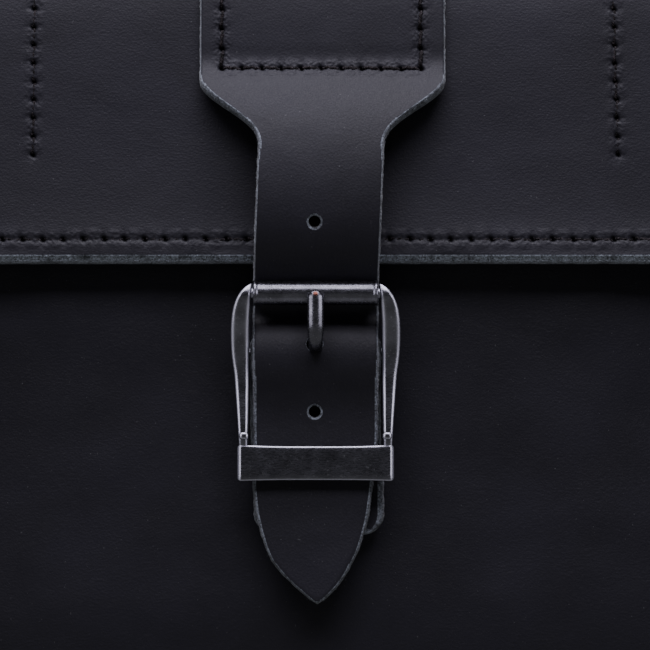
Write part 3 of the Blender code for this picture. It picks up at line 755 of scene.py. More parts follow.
def hole_row(places, pitch=6.4 * MM, jitter=0.12 * MM):
    """Stitch holes along (s, x) corner places, about a pitch apart and slightly uneven."""
    row = []
    for start, end in zip(places, places[1:]):
        start, end = np.array(start, float), np.array(end, float)
        count = max(int(round(np.linalg.norm(end - start) / pitch)), 1)
        row += [start + (end - start) * step / count for step in range(count)]
    row.append(np.array(places[-1], float))
    return [(s + random.uniform(-jitter, jitter), x + random.uniform(-jitter, jitter)) for s, x in row]


def make_fibres(name, lines, body, per_metre, length=(0.25, 0.8)):
    """Loose fibres along cut edges; a line is (points, outward direction, face direction)."""
    points, faces = [], []
    for line, outward, facing in lines:
        line = [Vector(point) for point in line]
        total = sum((b - a).length for a, b in zip(line, line[1:]))
        for _ in range(int(total * per_metre)):
            k = random.randrange(len(line) - 1)
            root = line[k].lerp(line[k + 1], random.random())
            root += Vector(facing) * random.uniform(-1.3, 1.3) * MM
            along = (line[k + 1] - line[k]).normalized() * random.uniform(-1.6, 1.6)
            way = (Vector(outward) + along + Vector(facing) * random.uniform(-0.9, 0.9)).normalized()
            reach = random.uniform(*length) * MM
            bend = Vector([random.uniform(-1, 1) for _ in range(3)]) * reach * 0.35
            side = way.orthogonal().normalized()
            other = way.cross(side)
            thick = random.uniform(0.035, 0.07) * MM
            base = len(points)
            for share in (0.0, 0.55):
                middle = root - way * 0.1 * MM + way * reach * share + bend * share**2
                for turn in range(3):
                    angle = turn * 2 * math.pi / 3
                    spread = side * math.cos(angle) + other * math.sin(angle)
                    points.append(middle + spread * thick * (1 - 0.4 * share))
            points.append(root + way * reach + bend)
            for turn in range(3):
                after = (turn + 1) % 3
                faces.append((base + turn, base + after, base + 3 + after, base + 3 + turn))
                faces.append((base + 3 + turn, base + 3 + after, base + 6))
            faces.append((base, base + 1, base + 2))
    return small_parts(name, points, faces, RAW_PAINT, body, sharp=180)


# ---- Curves read from the frame ---------------------------------------------------------

# A side-view place inside the bag that all of the lid's outer side can be seen from.
MIDDLE = (0.0, 0.20)
LID_EDGE_X = 0.135
# How far above and behind MIDDLE the fold ends and the moving lid begins.
TO_FOLD_END = (0.0825, 0.0390)


def read_lid_track():
    """The lid's outer side, from the band on the back over the top to the hem."""
    nodes = ("hinge_band", "lid_fold", "lid_leather")
    start = math.atan2(band_low.z - MIDDLE[1] + 0.3 * MM, band_high.y - MIDDLE[0])
    end = math.pi + math.atan2(MIDDLE[1] - lid_low.z - 0.3 * MM, MIDDLE[0] - lid_low.y)
    places = [outermost(nodes, LID_EDGE_X, MIDDLE, angle) for angle in np.linspace(start, end, 42)]
    places = [place for place in places if place]
    first = (places[0][0], band_low.z)
    hem_run = np.array(places[-1]) - np.array(places[-2])
    last = np.array(places[-1]) + hem_run * (lid_low.z - places[-1][1]) / hem_run[1]
    return Track(smooth_curve([first] + places[1:-1] + [tuple(last)], 4))


def read_strap_track():
    """The closure strap's outer side, from the lid's top down to the tip."""
    side = strap_x + 0.012
    start = math.atan2(strap_high.z - MIDDLE[1], -0.0055)
    over = [outermost(("closure_strap",), side, MIDDLE, a) for a in np.linspace(start, 0.98 * math.pi, 20)]
    over = [place for place in over if place and place[1] > 0.215]
    heights = np.concatenate([np.arange(0.211, 0.062, -0.0042), [0.062]])
    down = []
    for height in heights:
        hit = ray("closure_strap", (side, -0.3, height), (0.0, 1.0, 0.0))
        if hit is not None:
            down.append((hit.y, hit.z))
    tip = (down[-1][0], strap_low.z)
    return Track(smooth_curve(over + down + [tip], 4))


lid_track = read_lid_track()
strap_track = read_strap_track()
angles = np.arctan2(lid_track.points[:, 1] - MIDDLE[1], lid_track.points[:, 0] - MIDDLE[0])
fold_end = lid_track.marks[np.argmin(np.abs(angles - math.atan2(*TO_FOLD_END)))]


# ---- Lid --------------------------------------------------------------------------------

ROW_HEIGHT = lift_axis.z + 1.0 * MM
U_LEFT = strap_x - 30.2 * MM
U_RIGHT = strap_x + 33.8 * MM
# The upper and lower end of each seam of the lid's inner bands, across the lid.
SIDE_SEAMS = (
    (-91.8 * MM, -91.8 * MM), (-118 * MM, -118 * MM), (92.6 * MM, 96.6 * MM), (119 * MM, 121 * MM),
)
SIDE_SEAM_BOTTOM = 0.1953
HEM_SEAM_RISE = 7.1 * MM
HEM_BEVEL = 1.4 * MM


def lid_edges(s):
    """The lid's sides: as wide as the back at the hinge, a little wider on the moving lid."""
    half = band_high.x + (lid_high.x - band_high.x) * float(smoothstep((s - fold_end) / 0.012))
    return -half, half


def lid_form(s, x):
    """Soft hand-made waves across the lid, calm at the hinge."""
    waves = 0.6 * MM * wobble_grid(s, x, 70 * MM, 3.0)
    return waves * smoothstep((s - fold_end) / 0.03) * smoothstep((lid_track.length - s) / 0.02)


def lid_detail(s, x):
    """The lid's leather swells a little beside the strap's head."""
    head = np.minimum(np.abs(x - U_LEFT + 8 * MM), np.abs(x - U_RIGHT - 8 * MM))
    return 0.25 * MM * np.exp(-((head / (6 * MM)) ** 2))


def lid_raw(s):
    """How wide the undyed rim is: widest along the hem."""
    return (0.45 + 0.20 * smoothstep((s - lid_track.length + 6 * MM) / (3 * MM))) * MM


def make_lid():
    """Band, fold and lid in one leather sheet that bends at the hinge, with its seams."""
    hem = lid_track.length - HEM_SEAM_RISE
    seams = [hole_row([(hem, -154 * MM), (hem, 154 * MM)], pitch=6.6 * MM)]
    top = fold_end + 12 * MM
    bottom = lid_track.down_to(SIDE_SEAM_BOTTOM)
    for x_top, x_bottom in SIDE_SEAMS:
        seams.append(hole_row([(top, x_top), (bottom, x_bottom)], pitch=5.9 * MM))
    band_seam = 7 * MM
    seams.append(hole_row([(band_seam, -150 * MM), (band_seam, 150 * MM)]))
    stations = edge_dense(0.0, lid_track.length - HEM_BEVEL, 1.6 * MM)
    # The lid's cut edges take the brighter copy of the raw edge, with painted light.
    lid = make_sheet(
        "lid_shell", lid_track, stations, lid_edges, LEATHER, (LID_PAINT, HEM_EDGE_LIT_PAINT, FLESH_PAINT),
        seams=seams, form=lid_form, detail=lid_detail, flesh_every=12, seed=2.0,
        raw=lid_raw, roll=0.6 * MM, bevel=HEM_BEVEL, fray=0.2 * MM,
    )
    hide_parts("lid_leather", "lid_fold", "hinge_band")
    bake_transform(lid)
    rows = [holes_in_space(lid_track, holes, lid_form) for holes in seams]
    make_threads("lid_threads", rows[:-1], "lid", rise=-0.65 * MM)
    make_threads("band_threads", rows[-1:], "pouch")
    hem_line = [(x, lid_track.points[-1][0], lid_low.z) for x in np.linspace(-0.16, 0.16, 80)]
    make_fibres("lid_hem_fibres", [(hem_line, (0, 0, -1), (0, -1, 0))], "lid", 4200, (0.15, 0.6))


def make_lining():
    """The lid's lining: a thinner sheet under the leather, ending at its hem."""
    inner = lid_track.moved(-(LEATHER + GAP))
    track = Track(inner.points[inner.marks > fold_end + 1.0 * MM])
    half = lining_high.x - 0.4 * MM
    piece = make_sheet(
        "lid_lining_sheet", track, edge_dense(0.0, track.length, 3 * MM), lambda s: (-half, half), LINING,
        (FLESH_PAINT, RAW_PAINT, FLESH_PAINT), step=4 * MM, roll=0.4 * MM, flesh_every=4, seed=5.0,
        unevenness=0.0, fray=0.15 * MM,
    )
    finish_piece(piece, "lid", "lining_leather", "lid_lining")


def make_lid_bands():
    """Two leather bands inside the lid, each from its CAD box."""
    for node in ("lid_band_left", "lid_band_right"):
        low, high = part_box(node)
        inner = lid_track.moved(-(LEATHER + LINING + 2 * GAP))
        keep = (inner.marks > fold_end + 8 * MM) & (inner.points[:, 1] > low.z)
        track = Track(inner.points[keep])
        piece = make_sheet(
            f"{node}_sheet", track, edge_dense(0.0, track.length, 3 * MM),
            lambda s, low=low, high=high: (low.x, high.x), 2.2 * MM,
            (FLESH_PAINT, RAW_PAINT, POUCH_PAINT), step=3 * MM, roll=0.4 * MM, unevenness=0.0, seed=6.0,
        )
        finish_piece(piece, "lid", "black_leather", node)


# ---- Pouch ------------------------------------------------------------------------------


def half_width_at(height):
    """Half the pouch's width at a height, with its round lower corners."""
    drop = np.clip(CORNER_RADIUS - height, 0.0, CORNER_RADIUS)
    round_part = np.sqrt(np.clip(CORNER_RADIUS**2 - drop**2, 0.0, None))
    return panel_high.x - CORNER_RADIUS + round_part


def rim_seam(height_to_s, top):
    """A stitch row just inside a panel's U-shaped rim, as (s, x) holes."""
    inset = 5.0 * MM
    half = panel_high.x
    corner = half - CORNER_RADIUS
    radius = CORNER_RADIUS - inset
    left = [(-half + inset, top)] + arc((-corner, CORNER_RADIUS), radius, 180, 270, 8)
    right = arc((corner, CORNER_RADIUS), radius, 270, 360, 8) + [(half - inset, top)]
    outline = left + right
    marks = np.concatenate([[0.0], np.cumsum([math.dist(a, b) for a, b in zip(outline, outline[1:])])])
    count = int(round(marks[-1] / (6.4 * MM)))
    places = []
    for mark in np.linspace(0.0, marks[-1], count + 1):
        x = np.interp(mark, marks, [place[0] for place in outline])
        z = np.interp(mark, marks, [place[1] for place in outline])
        places.append((height_to_s(z), x))
    return places


def panel_form(s, x, height):
    """The front panel's outward bulge."""
    across = smoothstep((1.0 - np.abs(x) / np.maximum(half_width_at(height), 1 * MM)) / 0.5)
    along = smoothstep(height / 0.055) * smoothstep((panel_high.z - height) / 0.055)
    return FRONT_BULGE * across * along


def make_front_panel():
    """The front panel: flat rim, soft bulge, a stitch row round its rim."""
    rim_y = panel_high.y - LEATHER
    track = Track([(rim_y, z) for z in np.linspace(panel_high.z, 0.0, 120)])
    corner = [panel_high.z - z for z, _ in arc((CORNER_RADIUS, 0), CORNER_RADIUS, 90, 178, 40)]
    wall = list(edge_dense(0.0, panel_high.z - CORNER_RADIUS, 1.8 * MM))
    stations = [s for s in wall if s < panel_high.z - CORNER_RADIUS - 1.2 * MM] + corner

    def to_s(height):
        return panel_high.z - height

    def form(s, x):
        return panel_form(s, x, panel_high.z - s)

    def edges(s):
        half = float(half_width_at(panel_high.z - s))
        return -half, half

    def folds(s, x):
        broad = 0.5 * MM * wobble_grid(s * 0.7, x, 45 * MM, 9.0)
        return broad + 0.25 * MM * wobble_grid(s, x, 17 * MM, 4.0)

    seam = rim_seam(to_s, panel_high.z - 14 * MM)
    panel = make_sheet(
        "front_sheet", track, stations, edges, LEATHER, (POUCH_PAINT, DARK_EDGE_PAINT, FLESH_PAINT),
        step=1.8 * MM, seams=[seam], form=form, detail=folds, flesh_every=16, seed=8.0, unevenness=0.3 * MM,
    )
    finish_piece(panel, "pouch", "black_leather", "front_panel")
    make_threads("front_threads", [holes_in_space(track, seam, form)], "pouch")


def make_back_panel():
    """The flat back panel with its stitch row."""
    track = Track([(back_high.y, z) for z in np.linspace(0.0, back_high.z, 120)])
    corner = [z for z, _ in arc((CORNER_RADIUS, 0), CORNER_RADIUS, 178, 90, 40)]
    wall = [CORNER_RADIUS + s for s in edge_dense(0.0, back_high.z - CORNER_RADIUS, 2.2 * MM)]
    stations = corner + [z for z in wall if z > CORNER_RADIUS + 1.2 * MM]

    def edges(s):
        half = float(half_width_at(s))
        return -half, half

    seam = rim_seam(lambda height: height, back_high.z - 30 * MM)
    panel = make_sheet(
        "back_sheet", track, stations, edges, LEATHER, (POUCH_PAINT, DARK_EDGE_PAINT, FLESH_PAINT),
        step=2.2 * MM, seams=[seam], flesh_every=16, seed=12.0, unevenness=0.1 * MM, seam_depth=0.7,
    )
    finish_piece(panel, "pouch", "black_leather", "back_panel")
    make_threads("back_threads", [holes_in_space(track, seam)], "pouch")


GUSSET_WALL = 3.2 * MM
GUSSET_FLANGE = 6.8 * MM
GUSSET_TURN = 1.4 * MM


def gusset_section(near, far):
    """The side strip's cross-section as (depth, y) places: the outer side, then the inner side."""
    wall, flange, turn = GUSSET_WALL, GUSSET_FLANGE, GUSSET_TURN
    outside = [(flange, near)] + arc((turn, near + turn), turn, 270, 180, 4)
    outside += [(0.0, y) for y in np.linspace(near, far, 24)[1:-1]]
    outside += arc((turn, far - turn), turn, 180, 90, 4) + [(flange, far)]
    inside = [(flange, far - wall), (wall, far - wall)]
    inside += [(wall, y) for y in np.linspace(far - wall, near + wall, 10)[1:-1]]
    inside += [(wall, near + wall), (flange, near + wall)]
    return outside, inside


def make_gusset():
    """The side strip: a channel bent into a U, with turned-in flanges and slightly hollow walls."""
    far = gusset_high.y
    outside, inside = gusset_section(gusset_low.y, far)
    section = outside + inside
    half = panel_high.x
    corner = half - CORNER_RADIUS
    top = panel_high.z
    path = [(-half, z) for z in np.linspace(top, CORNER_RADIUS, 60)][:-1]
    path += arc((-corner, CORNER_RADIUS), CORNER_RADIUS, 180, 270, 30)
    path += [(x, 0.0) for x in np.linspace(-corner, corner, 60)][1:-1]
    path += arc((corner, CORNER_RADIUS), CORNER_RADIUS, 270, 360, 30)
    path += [(half, z) for z in np.linspace(CORNER_RADIUS, top, 60)][1:]
    track = Track(path)
    points = []
    for mark, (x, z), (normal_x, normal_z) in zip(track.marks, track.points, track.normals):
        hollow = 1.6 * MM * float(smoothstep((z - 0.03) / 0.08)) * float(smoothstep((top - z) / 0.04 + 0.4))
        for depth, y in section:
            depth_here = hollow + 0.5 * MM * wobble(mark, y, 40 * MM, 2.0)
            sag = max(1.0 - (y / (far - 4 * MM)) ** 2, 0.0) * depth_here
            inward = depth + (max(sag, 0.0) if depth <= GUSSET_WALL else 0.0)
            points.append((x - normal_x * inward, y, z - normal_z * inward))
    count = len(section)
    faces = tube_faces(len(path), count)
    kinds = []
    for face in faces[:-2]:
        k = face[0] % count
        kinds.append(0 if k < len(outside) - 1 else 1 if k in (len(outside) - 1, count - 1) else 2)
    kinds += [1, 1]
    mesh = bpy.data.meshes.new("gusset_sheet")
    mesh.from_pydata(points, [], faces)
    mesh.polygons.foreach_set("material_index", kinds)
    for paint in (POUCH_PAINT, DARK_EDGE_PAINT, FLESH_PAINT):
        mesh.materials.append(paint)
    piece = link_piece("gusset_sheet", mesh, sharp=60)
    finish_piece(piece, "pouch", "black_leather", "gusset")


def make_mouth_band():
    """A thin leather band inside the mouth's front edge."""
    low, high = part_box("mouth_band")
    track = Track([(high.y, z) for z in np.linspace(low.z, high.z, 12)])
    piece = make_sheet(
        "mouth_band_sheet", track, edge_dense(0.0, track.length, 2 * MM), lambda s: (low.x, high.x),
        high.y - low.y, (FLESH_PAINT, RAW_PAINT, FLESH_PAINT), step=3 * MM, roll=0.4 * MM,
        unevenness=0.0, seed=15.0,
    )
    finish_piece(piece, "pouch", "lining_leather", "mouth_band")


# ---- Closure strap ----------------------------------------------------------------------

STRAP_HALF = 19.8 * MM
HEAD_HALF = 39.25 * MM
HEAD_MIDDLE = 1.4 * MM
SHOULDER_TOP = 0.220
SHOULDER_BOTTOM = 0.196
HOLE_PITCH = 20 * MM
PRONG_HOLE = bar_axis.z + 1.3 * MM
# The pointed end: height and half width in millimetres.
TIP_OUTLINE = (
    (105.0, 19.8), (89.3, 19.0), (78.7, 17.6), (70.6, 15.4), (66.5, 13.8), (62.4, 11.5),
    (58.3, 8.3), (54.5, 4.6), (52.0, 1.6), (51.2, 0.3),
)
tip_curve = smooth_curve(TIP_OUTLINE, 6)[::-1] * MM


def height_on_strap(s):
    """The strap's height at a length along it."""
    return float(np.interp(s, strap_track.marks, strap_track.points[:, 1]))


def strap_edges(s):
    """Left and right edge of the strap: wide head, hollow shoulders, long taper."""
    height = height_on_strap(s)
    head = float(smoothstep((height - SHOULDER_BOTTOM) / (SHOULDER_TOP - SHOULDER_BOTTOM))) ** 1.4
    half = STRAP_HALF + (HEAD_HALF - STRAP_HALF) * head
    middle = strap_x + (HEAD_MIDDLE - strap_x) * float(smoothstep((height - 0.140) / 0.080))
    middle -= 1.0 * MM * float(smoothstep((0.105 - height) / 0.020))
    middle += 1.5 * MM * float(smoothstep((0.066 - height) / 0.014))
    if height < tip_curve[-1, 0]:
        half = float(np.interp(height, tip_curve[:, 0], tip_curve[:, 1]))
    return middle - half, middle + half


def strap_detail(s, x):
    """A slight crown across the free strap."""
    middle = 1.0 - ((x - strap_x) / STRAP_HALF) ** 2
    free = smoothstep((s - strap_track.down_to(0.212)) / 0.02)
    return 0.25 * MM * np.clip(middle, 0, 1) * free


def strap_raw(s):
    """How wide the undyed edge worn by rubbing is: widest on the shoulders and inside the buckle."""
    height = np.interp(s, strap_track.marks, strap_track.points[:, 1])
    shoulder = smoothstep((height - 0.190) / 0.01) * smoothstep((0.222 - height) / 0.006)
    buckled = smoothstep((0.130 - height) / 0.008)
    return (0.35 + 0.5 * shoulder + 0.35 * buckled) * MM


def make_strap():
    """The whole closure strap: head sewn on the lid, free part through the buckle."""
    row = strap_track.down_to(ROW_HEIGHT)
    top = 9 * MM
    u_seam = hole_row([(top, U_LEFT), (row, U_LEFT), (row, U_RIGHT), (top, U_RIGHT)])
    stations = edge_dense(0.0, strap_track.length, 0.9 * MM)
    punches = []
    for step in (-1, 0, 1, 2):
        radius, rim, drawn_up = (2.5, 0.3, 1.6) if step == 0 else (1.8, 0.8, 0.0)
        mark = strap_track.down_to(PRONG_HOLE + step * HOLE_PITCH + drawn_up * MM)
        punches.append((mark, strap_x - 0.3 * MM, radius * MM, (radius + rim) * MM))
    strap = make_sheet(
        "strap_leather", strap_track, stations, strap_edges, LEATHER, (STRAP_PAINT, RAW_PAINT, FLESH_PAINT),
        step=1.0 * MM, seams=[u_seam], detail=strap_detail, seed=3.0, raw=strap_raw, fray=0.28 * MM,
        roll=0.7 * MM, flesh_every=6, unevenness=0.3 * MM, punches=punches,
    )
    cutters = []
    for mark, middle, radius, _ in punches:
        spot, normal = strap_track.at(np.array(mark))
        way = Vector((0.0, normal[0], normal[1]))
        centre = Vector((middle, spot[0], spot[1])) - way * (LEATHER / 2)
        cutters.append(make_punch(centre, way, radius))
    cut_with(strap, cutters)
    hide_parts("closure_strap")
    upper = strap_track.at(np.array(row + 2 * MM))[0]
    lower = strap_track.at(np.array(row + 16 * MM))[0]
    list(upper)
    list(lower)
    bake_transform(strap)
    make_threads("strap_threads", [holes_in_space(strap_track, u_seam)], "lid", rise=-0.15 * MM)
    make_strap_fibres(row)


def make_punch(centre, way, radius):
    """A round punch through the strap, with raw-edge walls."""
    work = bmesh.new()
    bmesh.ops.create_cone(
        work, cap_ends=True, segments=40, radius1=radius, radius2=radius * 1.12, depth=12 * MM,
    )
    turn = way.to_track_quat("Z", "X").to_matrix()
    for vert in work.verts:
        vert.co = turn @ vert.co + centre
    return link("punch", mesh_from(work, "punch", DARK_EDGE_PAINT))


def make_strap_fibres(row):
    """Fibres along the strap's cut edges: a few on the head, many below the row."""
    heads, frees = [], []
    marks = edge_dense(4 * MM, strap_track.length - 1 * MM, 3 * MM)
    for side, out in ((0, (-1, 0, 0)), (1, (1, 0, 0))):
        line = []
        for mark in marks:
            spot, normal = strap_track.at(np.array(mark))
            middle = spot - normal * LEATHER * 0.45
            line.append((strap_edges(mark)[side], middle[0], middle[1]))
        cut = int(np.searchsorted(marks, row + 8 * MM))
        heads.append((line[:cut], out, (0, -1, 0.2)))
        frees.append((line[cut:], out, (0, -1, 0.2)))
    make_fibres("strap_head_fibres", heads, "lid", 2500, (0.15, 0.5))
    make_fibres("strap_free_fibres", frees, "strap", 5200, (0.2, 0.9))


# ---- Chape and tabs ---------------------------------------------------------------------

CHAPE_LEATHER = 3.0 * MM
CHAPE_HALF = 20.6 * MM
BAR_RADIUS = 2.0 * MM


def make_chape():
    """The folded strap that holds the buckle, with rounded lower corners and a prong slot."""
    y_bar, z_bar = bar_axis.y, bar_axis.z
    back_y = chape_high.y
    front_y = back_y - 2 * CHAPE_LEATHER - GAP
    radius = BAR_RADIUS + GAP + CHAPE_LEATHER
    over = arc((y_bar, z_bar), radius, 0, 180, 17)
    back = [
        (back_y, chape_low.z), (back_y, 0.078), (back_y, 0.094), (back_y, 0.110),
        (back_y - 0.1 * MM, 0.118), (y_bar + radius + 0.6 * MM, 0.1262),
    ]
    front = [
        (y_bar - radius, 0.1262), (front_y - 1.0 * MM, 0.118), (front_y, 0.111),
        (front_y, 0.096), (front_y, 0.082), (front_y, 0.0730),
    ]
    track = Track(smooth_curve(back + over[1:-1] + front, 4))
    length = track.length

    def edges(s):
        corner = 7 * MM if s > length / 2 else 14 * MM
        left = max(corner - min(s, length - s), 0.0)
        half = CHAPE_HALF - (corner - math.sqrt(max(corner**2 - left**2, 0.0)))
        height = float(np.interp(s, track.marks, track.points[:, 1]))
        middle = strap_x + 1.0 * MM * float(smoothstep((0.108 - height) / 0.020))
        return middle - half, middle + half

    chape = make_sheet(
        "chape_leather", track, edge_dense(0.0, length, 1.0 * MM), edges, CHAPE_LEATHER,
        (STRAP_PAINT, RAW_PAINT, FLESH_PAINT), step=1.2 * MM, roll=0.9 * MM, seed=21.0,
        unevenness=0.0, fray=0.3 * MM, flesh_every=6,
        raw=lambda s: (0.5 + 0.9 * smoothstep((s - length + 30 * MM) / (8 * MM))) * MM,
    )
    slot = make_slot_cutter((strap_x, y_bar, 0.1312), (3.3 * MM, 12 * MM, 8.8 * MM))
    cut_with(chape, [slot], folded=True)
    finish_piece(chape, "pouch", "black_leather", "chape")


def make_slot_cutter(centre, half_sizes):
    """A box-shaped cutter for the prong's slot."""
    work = bmesh.new()
    bmesh.ops.create_cube(work, size=2.0)
    for vert in work.verts:
        vert.co = Vector([c + h * v for c, h, v in zip(centre, half_sizes, vert.co)])
    return link("slot_cutter", mesh_from(work, "slot_cutter", DARK_EDGE_PAINT))


def make_tabs():
    """Four folded leather tabs that hold the back's rings."""
    for node in ("upper_left", "upper_right", "lower_left", "lower_right"):
        low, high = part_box(f"ring_tab_{node}")
        pivot = axes[f"ring_{node}_swing"]
        leather = 2.5 * MM
        inner = low.y
        radius = high.y - pivot.y
        outer = inner + 2 * leather + GAP
        around = arc((pivot.y, pivot.z), radius, -180, 0, 15)
        down = [(inner, high.z - 0.2 * MM), (inner, high.z - 9 * MM), (inner, pivot.z + 9 * MM)]
        up = [
            (outer + 2.9 * MM, pivot.z + 5 * MM), (outer + 0.4 * MM, pivot.z + 10.5 * MM),
            (outer, pivot.z + 13.5 * MM), (outer, high.z - 5 * MM), (outer, high.z - 0.2 * MM),
        ]
        track = Track(smooth_curve(down + around + up, 3))
        length = track.length

        def edges(s, low=low, high=high, length=length):
            corner = 3 * MM
            left = max(corner - min(s, length - s), 0.0)
            cut = corner - math.sqrt(max(corner**2 - left**2, 0.0))
            return low.x + cut, high.x - cut

        tab = make_sheet(
            f"tab_leather_{node}", track, edge_dense(0.0, length, 1.2 * MM), edges, leather,
            (STRAP_PAINT, RAW_PAINT, FLESH_PAINT), step=1.5 * MM, roll=0.6 * MM, seed=30.0,
            unevenness=0.08 * MM, flesh_every=5,
        )
        finish_piece(tab, "pouch", "black_leather", f"ring_tab_{node}")


# ---- Metal ------------------------------------------------------------------------------


def superellipse(half_x, half_y, count, power=0.62):
    """A rounded-box outline."""
    ring = []
    for step in range(count):
        angle = 2 * math.pi * (step + 0.5) / count
        across = math.copysign(abs(math.cos(angle)) ** power, math.cos(angle))
        deep = math.copysign(abs(math.sin(angle)) ** power, math.sin(angle))
        ring.append((half_x * across, half_y * deep))
    return ring


def add_rings(work, rings, looped=False):
    """A body through rings of points, added to a bmesh: capped at its ends or closed on itself."""
    made = [[work.verts.new(point) for point in ring] for ring in rings]
    count = len(made[0])
    for ring, following in zip(made, made[1:] + made[:1] if looped else made[1:]):
        for k in range(count):
            after = (k + 1) % count
            work.faces.new((ring[k], ring[after], following[after], following[k]))
    if not looped:
        work.faces.new(made[0][::-1])
        work.faces.new(made[-1])


def add_turned(work, profile, centre, count, looped=True):
    """A body turned round X from (radius, x) places."""
    rings = []
    for radius, x in profile:
        rings.append([
            (centre[0] + x, centre[1] + radius * math.cos(a), centre[2] + radius * math.sin(a))
            for a in circle(count)
        ])
    add_rings(work, rings, looped)


def metal_piece(name, work, paint, body, node, sharp=40, highlight_edges=False):
    """A metal piece from a bmesh, with painted highlights on its edges that half face the front if asked.
    """
    mesh = mesh_from(work, name, paint)
    piece = link_piece(name, mesh, sharp=sharp)
    if highlight_edges:
        # Painted highlight mask, set by how far each vertex's normal turns towards the front (-Y).
        facing = np.array([-vert.normal.y for vert in mesh.vertices])
        rub = smoothstep((facing - 0.25) / 0.25) * smoothstep((0.97 - facing) / 0.12)
        mark_points(mesh, "rub", rub)
    return finish_piece(piece, body, "black_nickel", node)


AXLE_RADIUS = 1.8 * MM
ROLLER_RADIUS = 4.1 * MM
ROLLER_BORE = 2.1 * MM
# The buckle's arms: height, then inner and outer distance from its middle, in millimetres.
ARM_STATIONS = (
    (152.8, 20.3, 21.0), (152.2, 20.3, 22.2), (151.1, 20.3, 23.5), (149.6, 20.4, 24.7),
    (147.5, 20.6, 25.8), (144.0, 20.9, 26.8), (138.5, 21.1, 27.3), (131.0, 21.2, 27.1),
    (123.9, 21.2, 26.2), (117.0, 21.3, 25.7), (110.0, 21.4, 25.2), (104.0, 21.6, 24.8),
    (98.5, 21.7, 24.5),
)
# The arms from the side: height and place in Y, in millimetres.
ARM_RUN = (
    (153.0, -73.3), (150.0, -73.0), (143.0, -70.8), (131.0, -67.0), (120.0, -65.9),
    (109.0, -67.2), (103.5, -67.3), (98.5, -66.2),
)


def add_arm(work, side):
    """One curved side arm with a squarish, rounded section."""
    run = smooth_curve(ARM_RUN, 8)[::-1] * MM
    rings = []
    for height, inner, outer in smooth_curve(ARM_STATIONS, 6) * MM:
        ends = float(smoothstep((0.1545 - height) / 0.006) * smoothstep((height - 0.088) / 0.018))
        half_y = (1.4 + 2.1 * ends) * MM
        y = float(np.interp(height, run[:, 0], run[:, 1]))
        middle = strap_x + side * (inner + outer) / 2
        half_x = (outer - inner) / 2
        rings.append([(middle + a, y + b, height) for a, b in superellipse(half_x, half_y, 40, power=0.5)])
    add_rings(work, rings[::-1])


def add_rod(work, centre, radius, half_length, swell=0.0):
    """A rod along X, slightly thicker at its ends if asked."""
    shares = np.linspace(-1.0, 1.0, 25)
    profile = [(radius + swell * abs(share) ** 12, half_length * share) for share in shares]
    add_turned(work, profile, centre, 28, looped=False)


def add_keeper_plate(work):
    """The blank plate: slightly waisted, with rounded edges and ends that curl towards the back."""
    half = 25.3 * MM
    bottom, top = 90.0 * MM, 101.8 * MM
    depth = 1.75 * MM
    middle_y = -70.4 * MM + depth
    curl = 1.5 * MM
    shares = np.sin(np.linspace(-math.pi / 2, math.pi / 2, 81))
    rings = []
    for share in shares:
        x = strap_x + half * share
        end = max(abs(share) * half - (half - curl), 0.0) / curl
        shrink = math.sqrt(max(1.0 - end**2, 0.0))
        waist = 1.0 - abs(share) ** 3
        low = bottom + 0.35 * MM * waist + 1.5 * MM * (1.0 - shrink)
        high = top - 0.55 * MM * waist - 1.5 * MM * (1.0 - shrink)
        half_y = depth * (0.25 + 0.75 * shrink)
        rings.append([
            (x, middle_y + 1.1 * MM * end**2 + b, (low + high) / 2 + a)
            for a, b in superellipse((high - low) / 2, half_y, 56, power=0.3)
        ])
    add_rings(work, rings)


def add_bead(work, centre, radius):
    """A small cast barrel where an arm meets the plate."""
    made = bmesh.ops.create_icosphere(work, subdivisions=3, radius=1.0)
    for vert in made["verts"]:
        boxy = [math.copysign(abs(value) ** 0.65, value) for value in vert.co]
        vert.co = Vector([c + r * v for c, r, v in zip(centre, radius, boxy)])


def make_casting():
    """The cast frame: arms, axle, centre bar and keeper plate."""
    work = bmesh.new()
    for side in (-1, 1):
        add_arm(work, side)
        add_bead(work, (strap_x + side * 22.9 * MM, -71.2 * MM, 0.1045), (1.5 * MM, 1.5 * MM, 1.2 * MM))
    add_rod(work, roller_axis, AXLE_RADIUS, 21.0 * MM)
    add_rod(work, bar_axis, BAR_RADIUS, 23.2 * MM, swell=0.3 * MM)
    add_keeper_plate(work)
    metal_piece("buckle_casting", work, METAL_PAINT, "buckle", "buckle_frame", sharp=55, highlight_edges=True)


def make_roller():
    """The tube on the axle, with a low ridge near each end."""
    half = (roller_high.x - roller_low.x) / 2
    outer, bore = ROLLER_RADIUS, ROLLER_BORE
    profile = [(outer - 0.25 * MM, half - 1.4 * MM), (outer, half - 1.1 * MM)]
    profile += [(outer, half - 0.5 * MM), (outer - 0.15 * MM, half - 0.15 * MM), (outer - 0.5 * MM, half)]
    profile += [(bore + 0.3 * MM, half), (bore, half - 0.3 * MM)]
    mirrored = [(radius, -x) for radius, x in profile[::-1]]
    middle = [(outer - 0.25 * MM, x) for x in np.linspace(-half + 2 * MM, half - 2 * MM, 9)]
    work = bmesh.new()
    add_turned(work, mirrored + middle + profile, roller_axis, 64)
    metal_piece("roller_tube", work, METAL_PAINT, "roller", "buckle_roller", sharp=50)


# The prong from the side: place in Y and height, in millimetres.
PRONG_RUN = (
    (-65.5, 131.6), (-69.0, 132.1), (-73.5, 132.7), (-77.2, 134.5), (-78.9, 137.8),
    (-79.4, 142.0), (-79.7, 146.5), (-79.9, 150.8),
)
COPPER_SPOT = (strap_x, -81.5 * MM, PRONG_RUN[-1][1] * MM - 1.4 * MM)
PRONG_PAINT = metal_material("black_nickel_prong", copper_at=COPPER_SPOT)


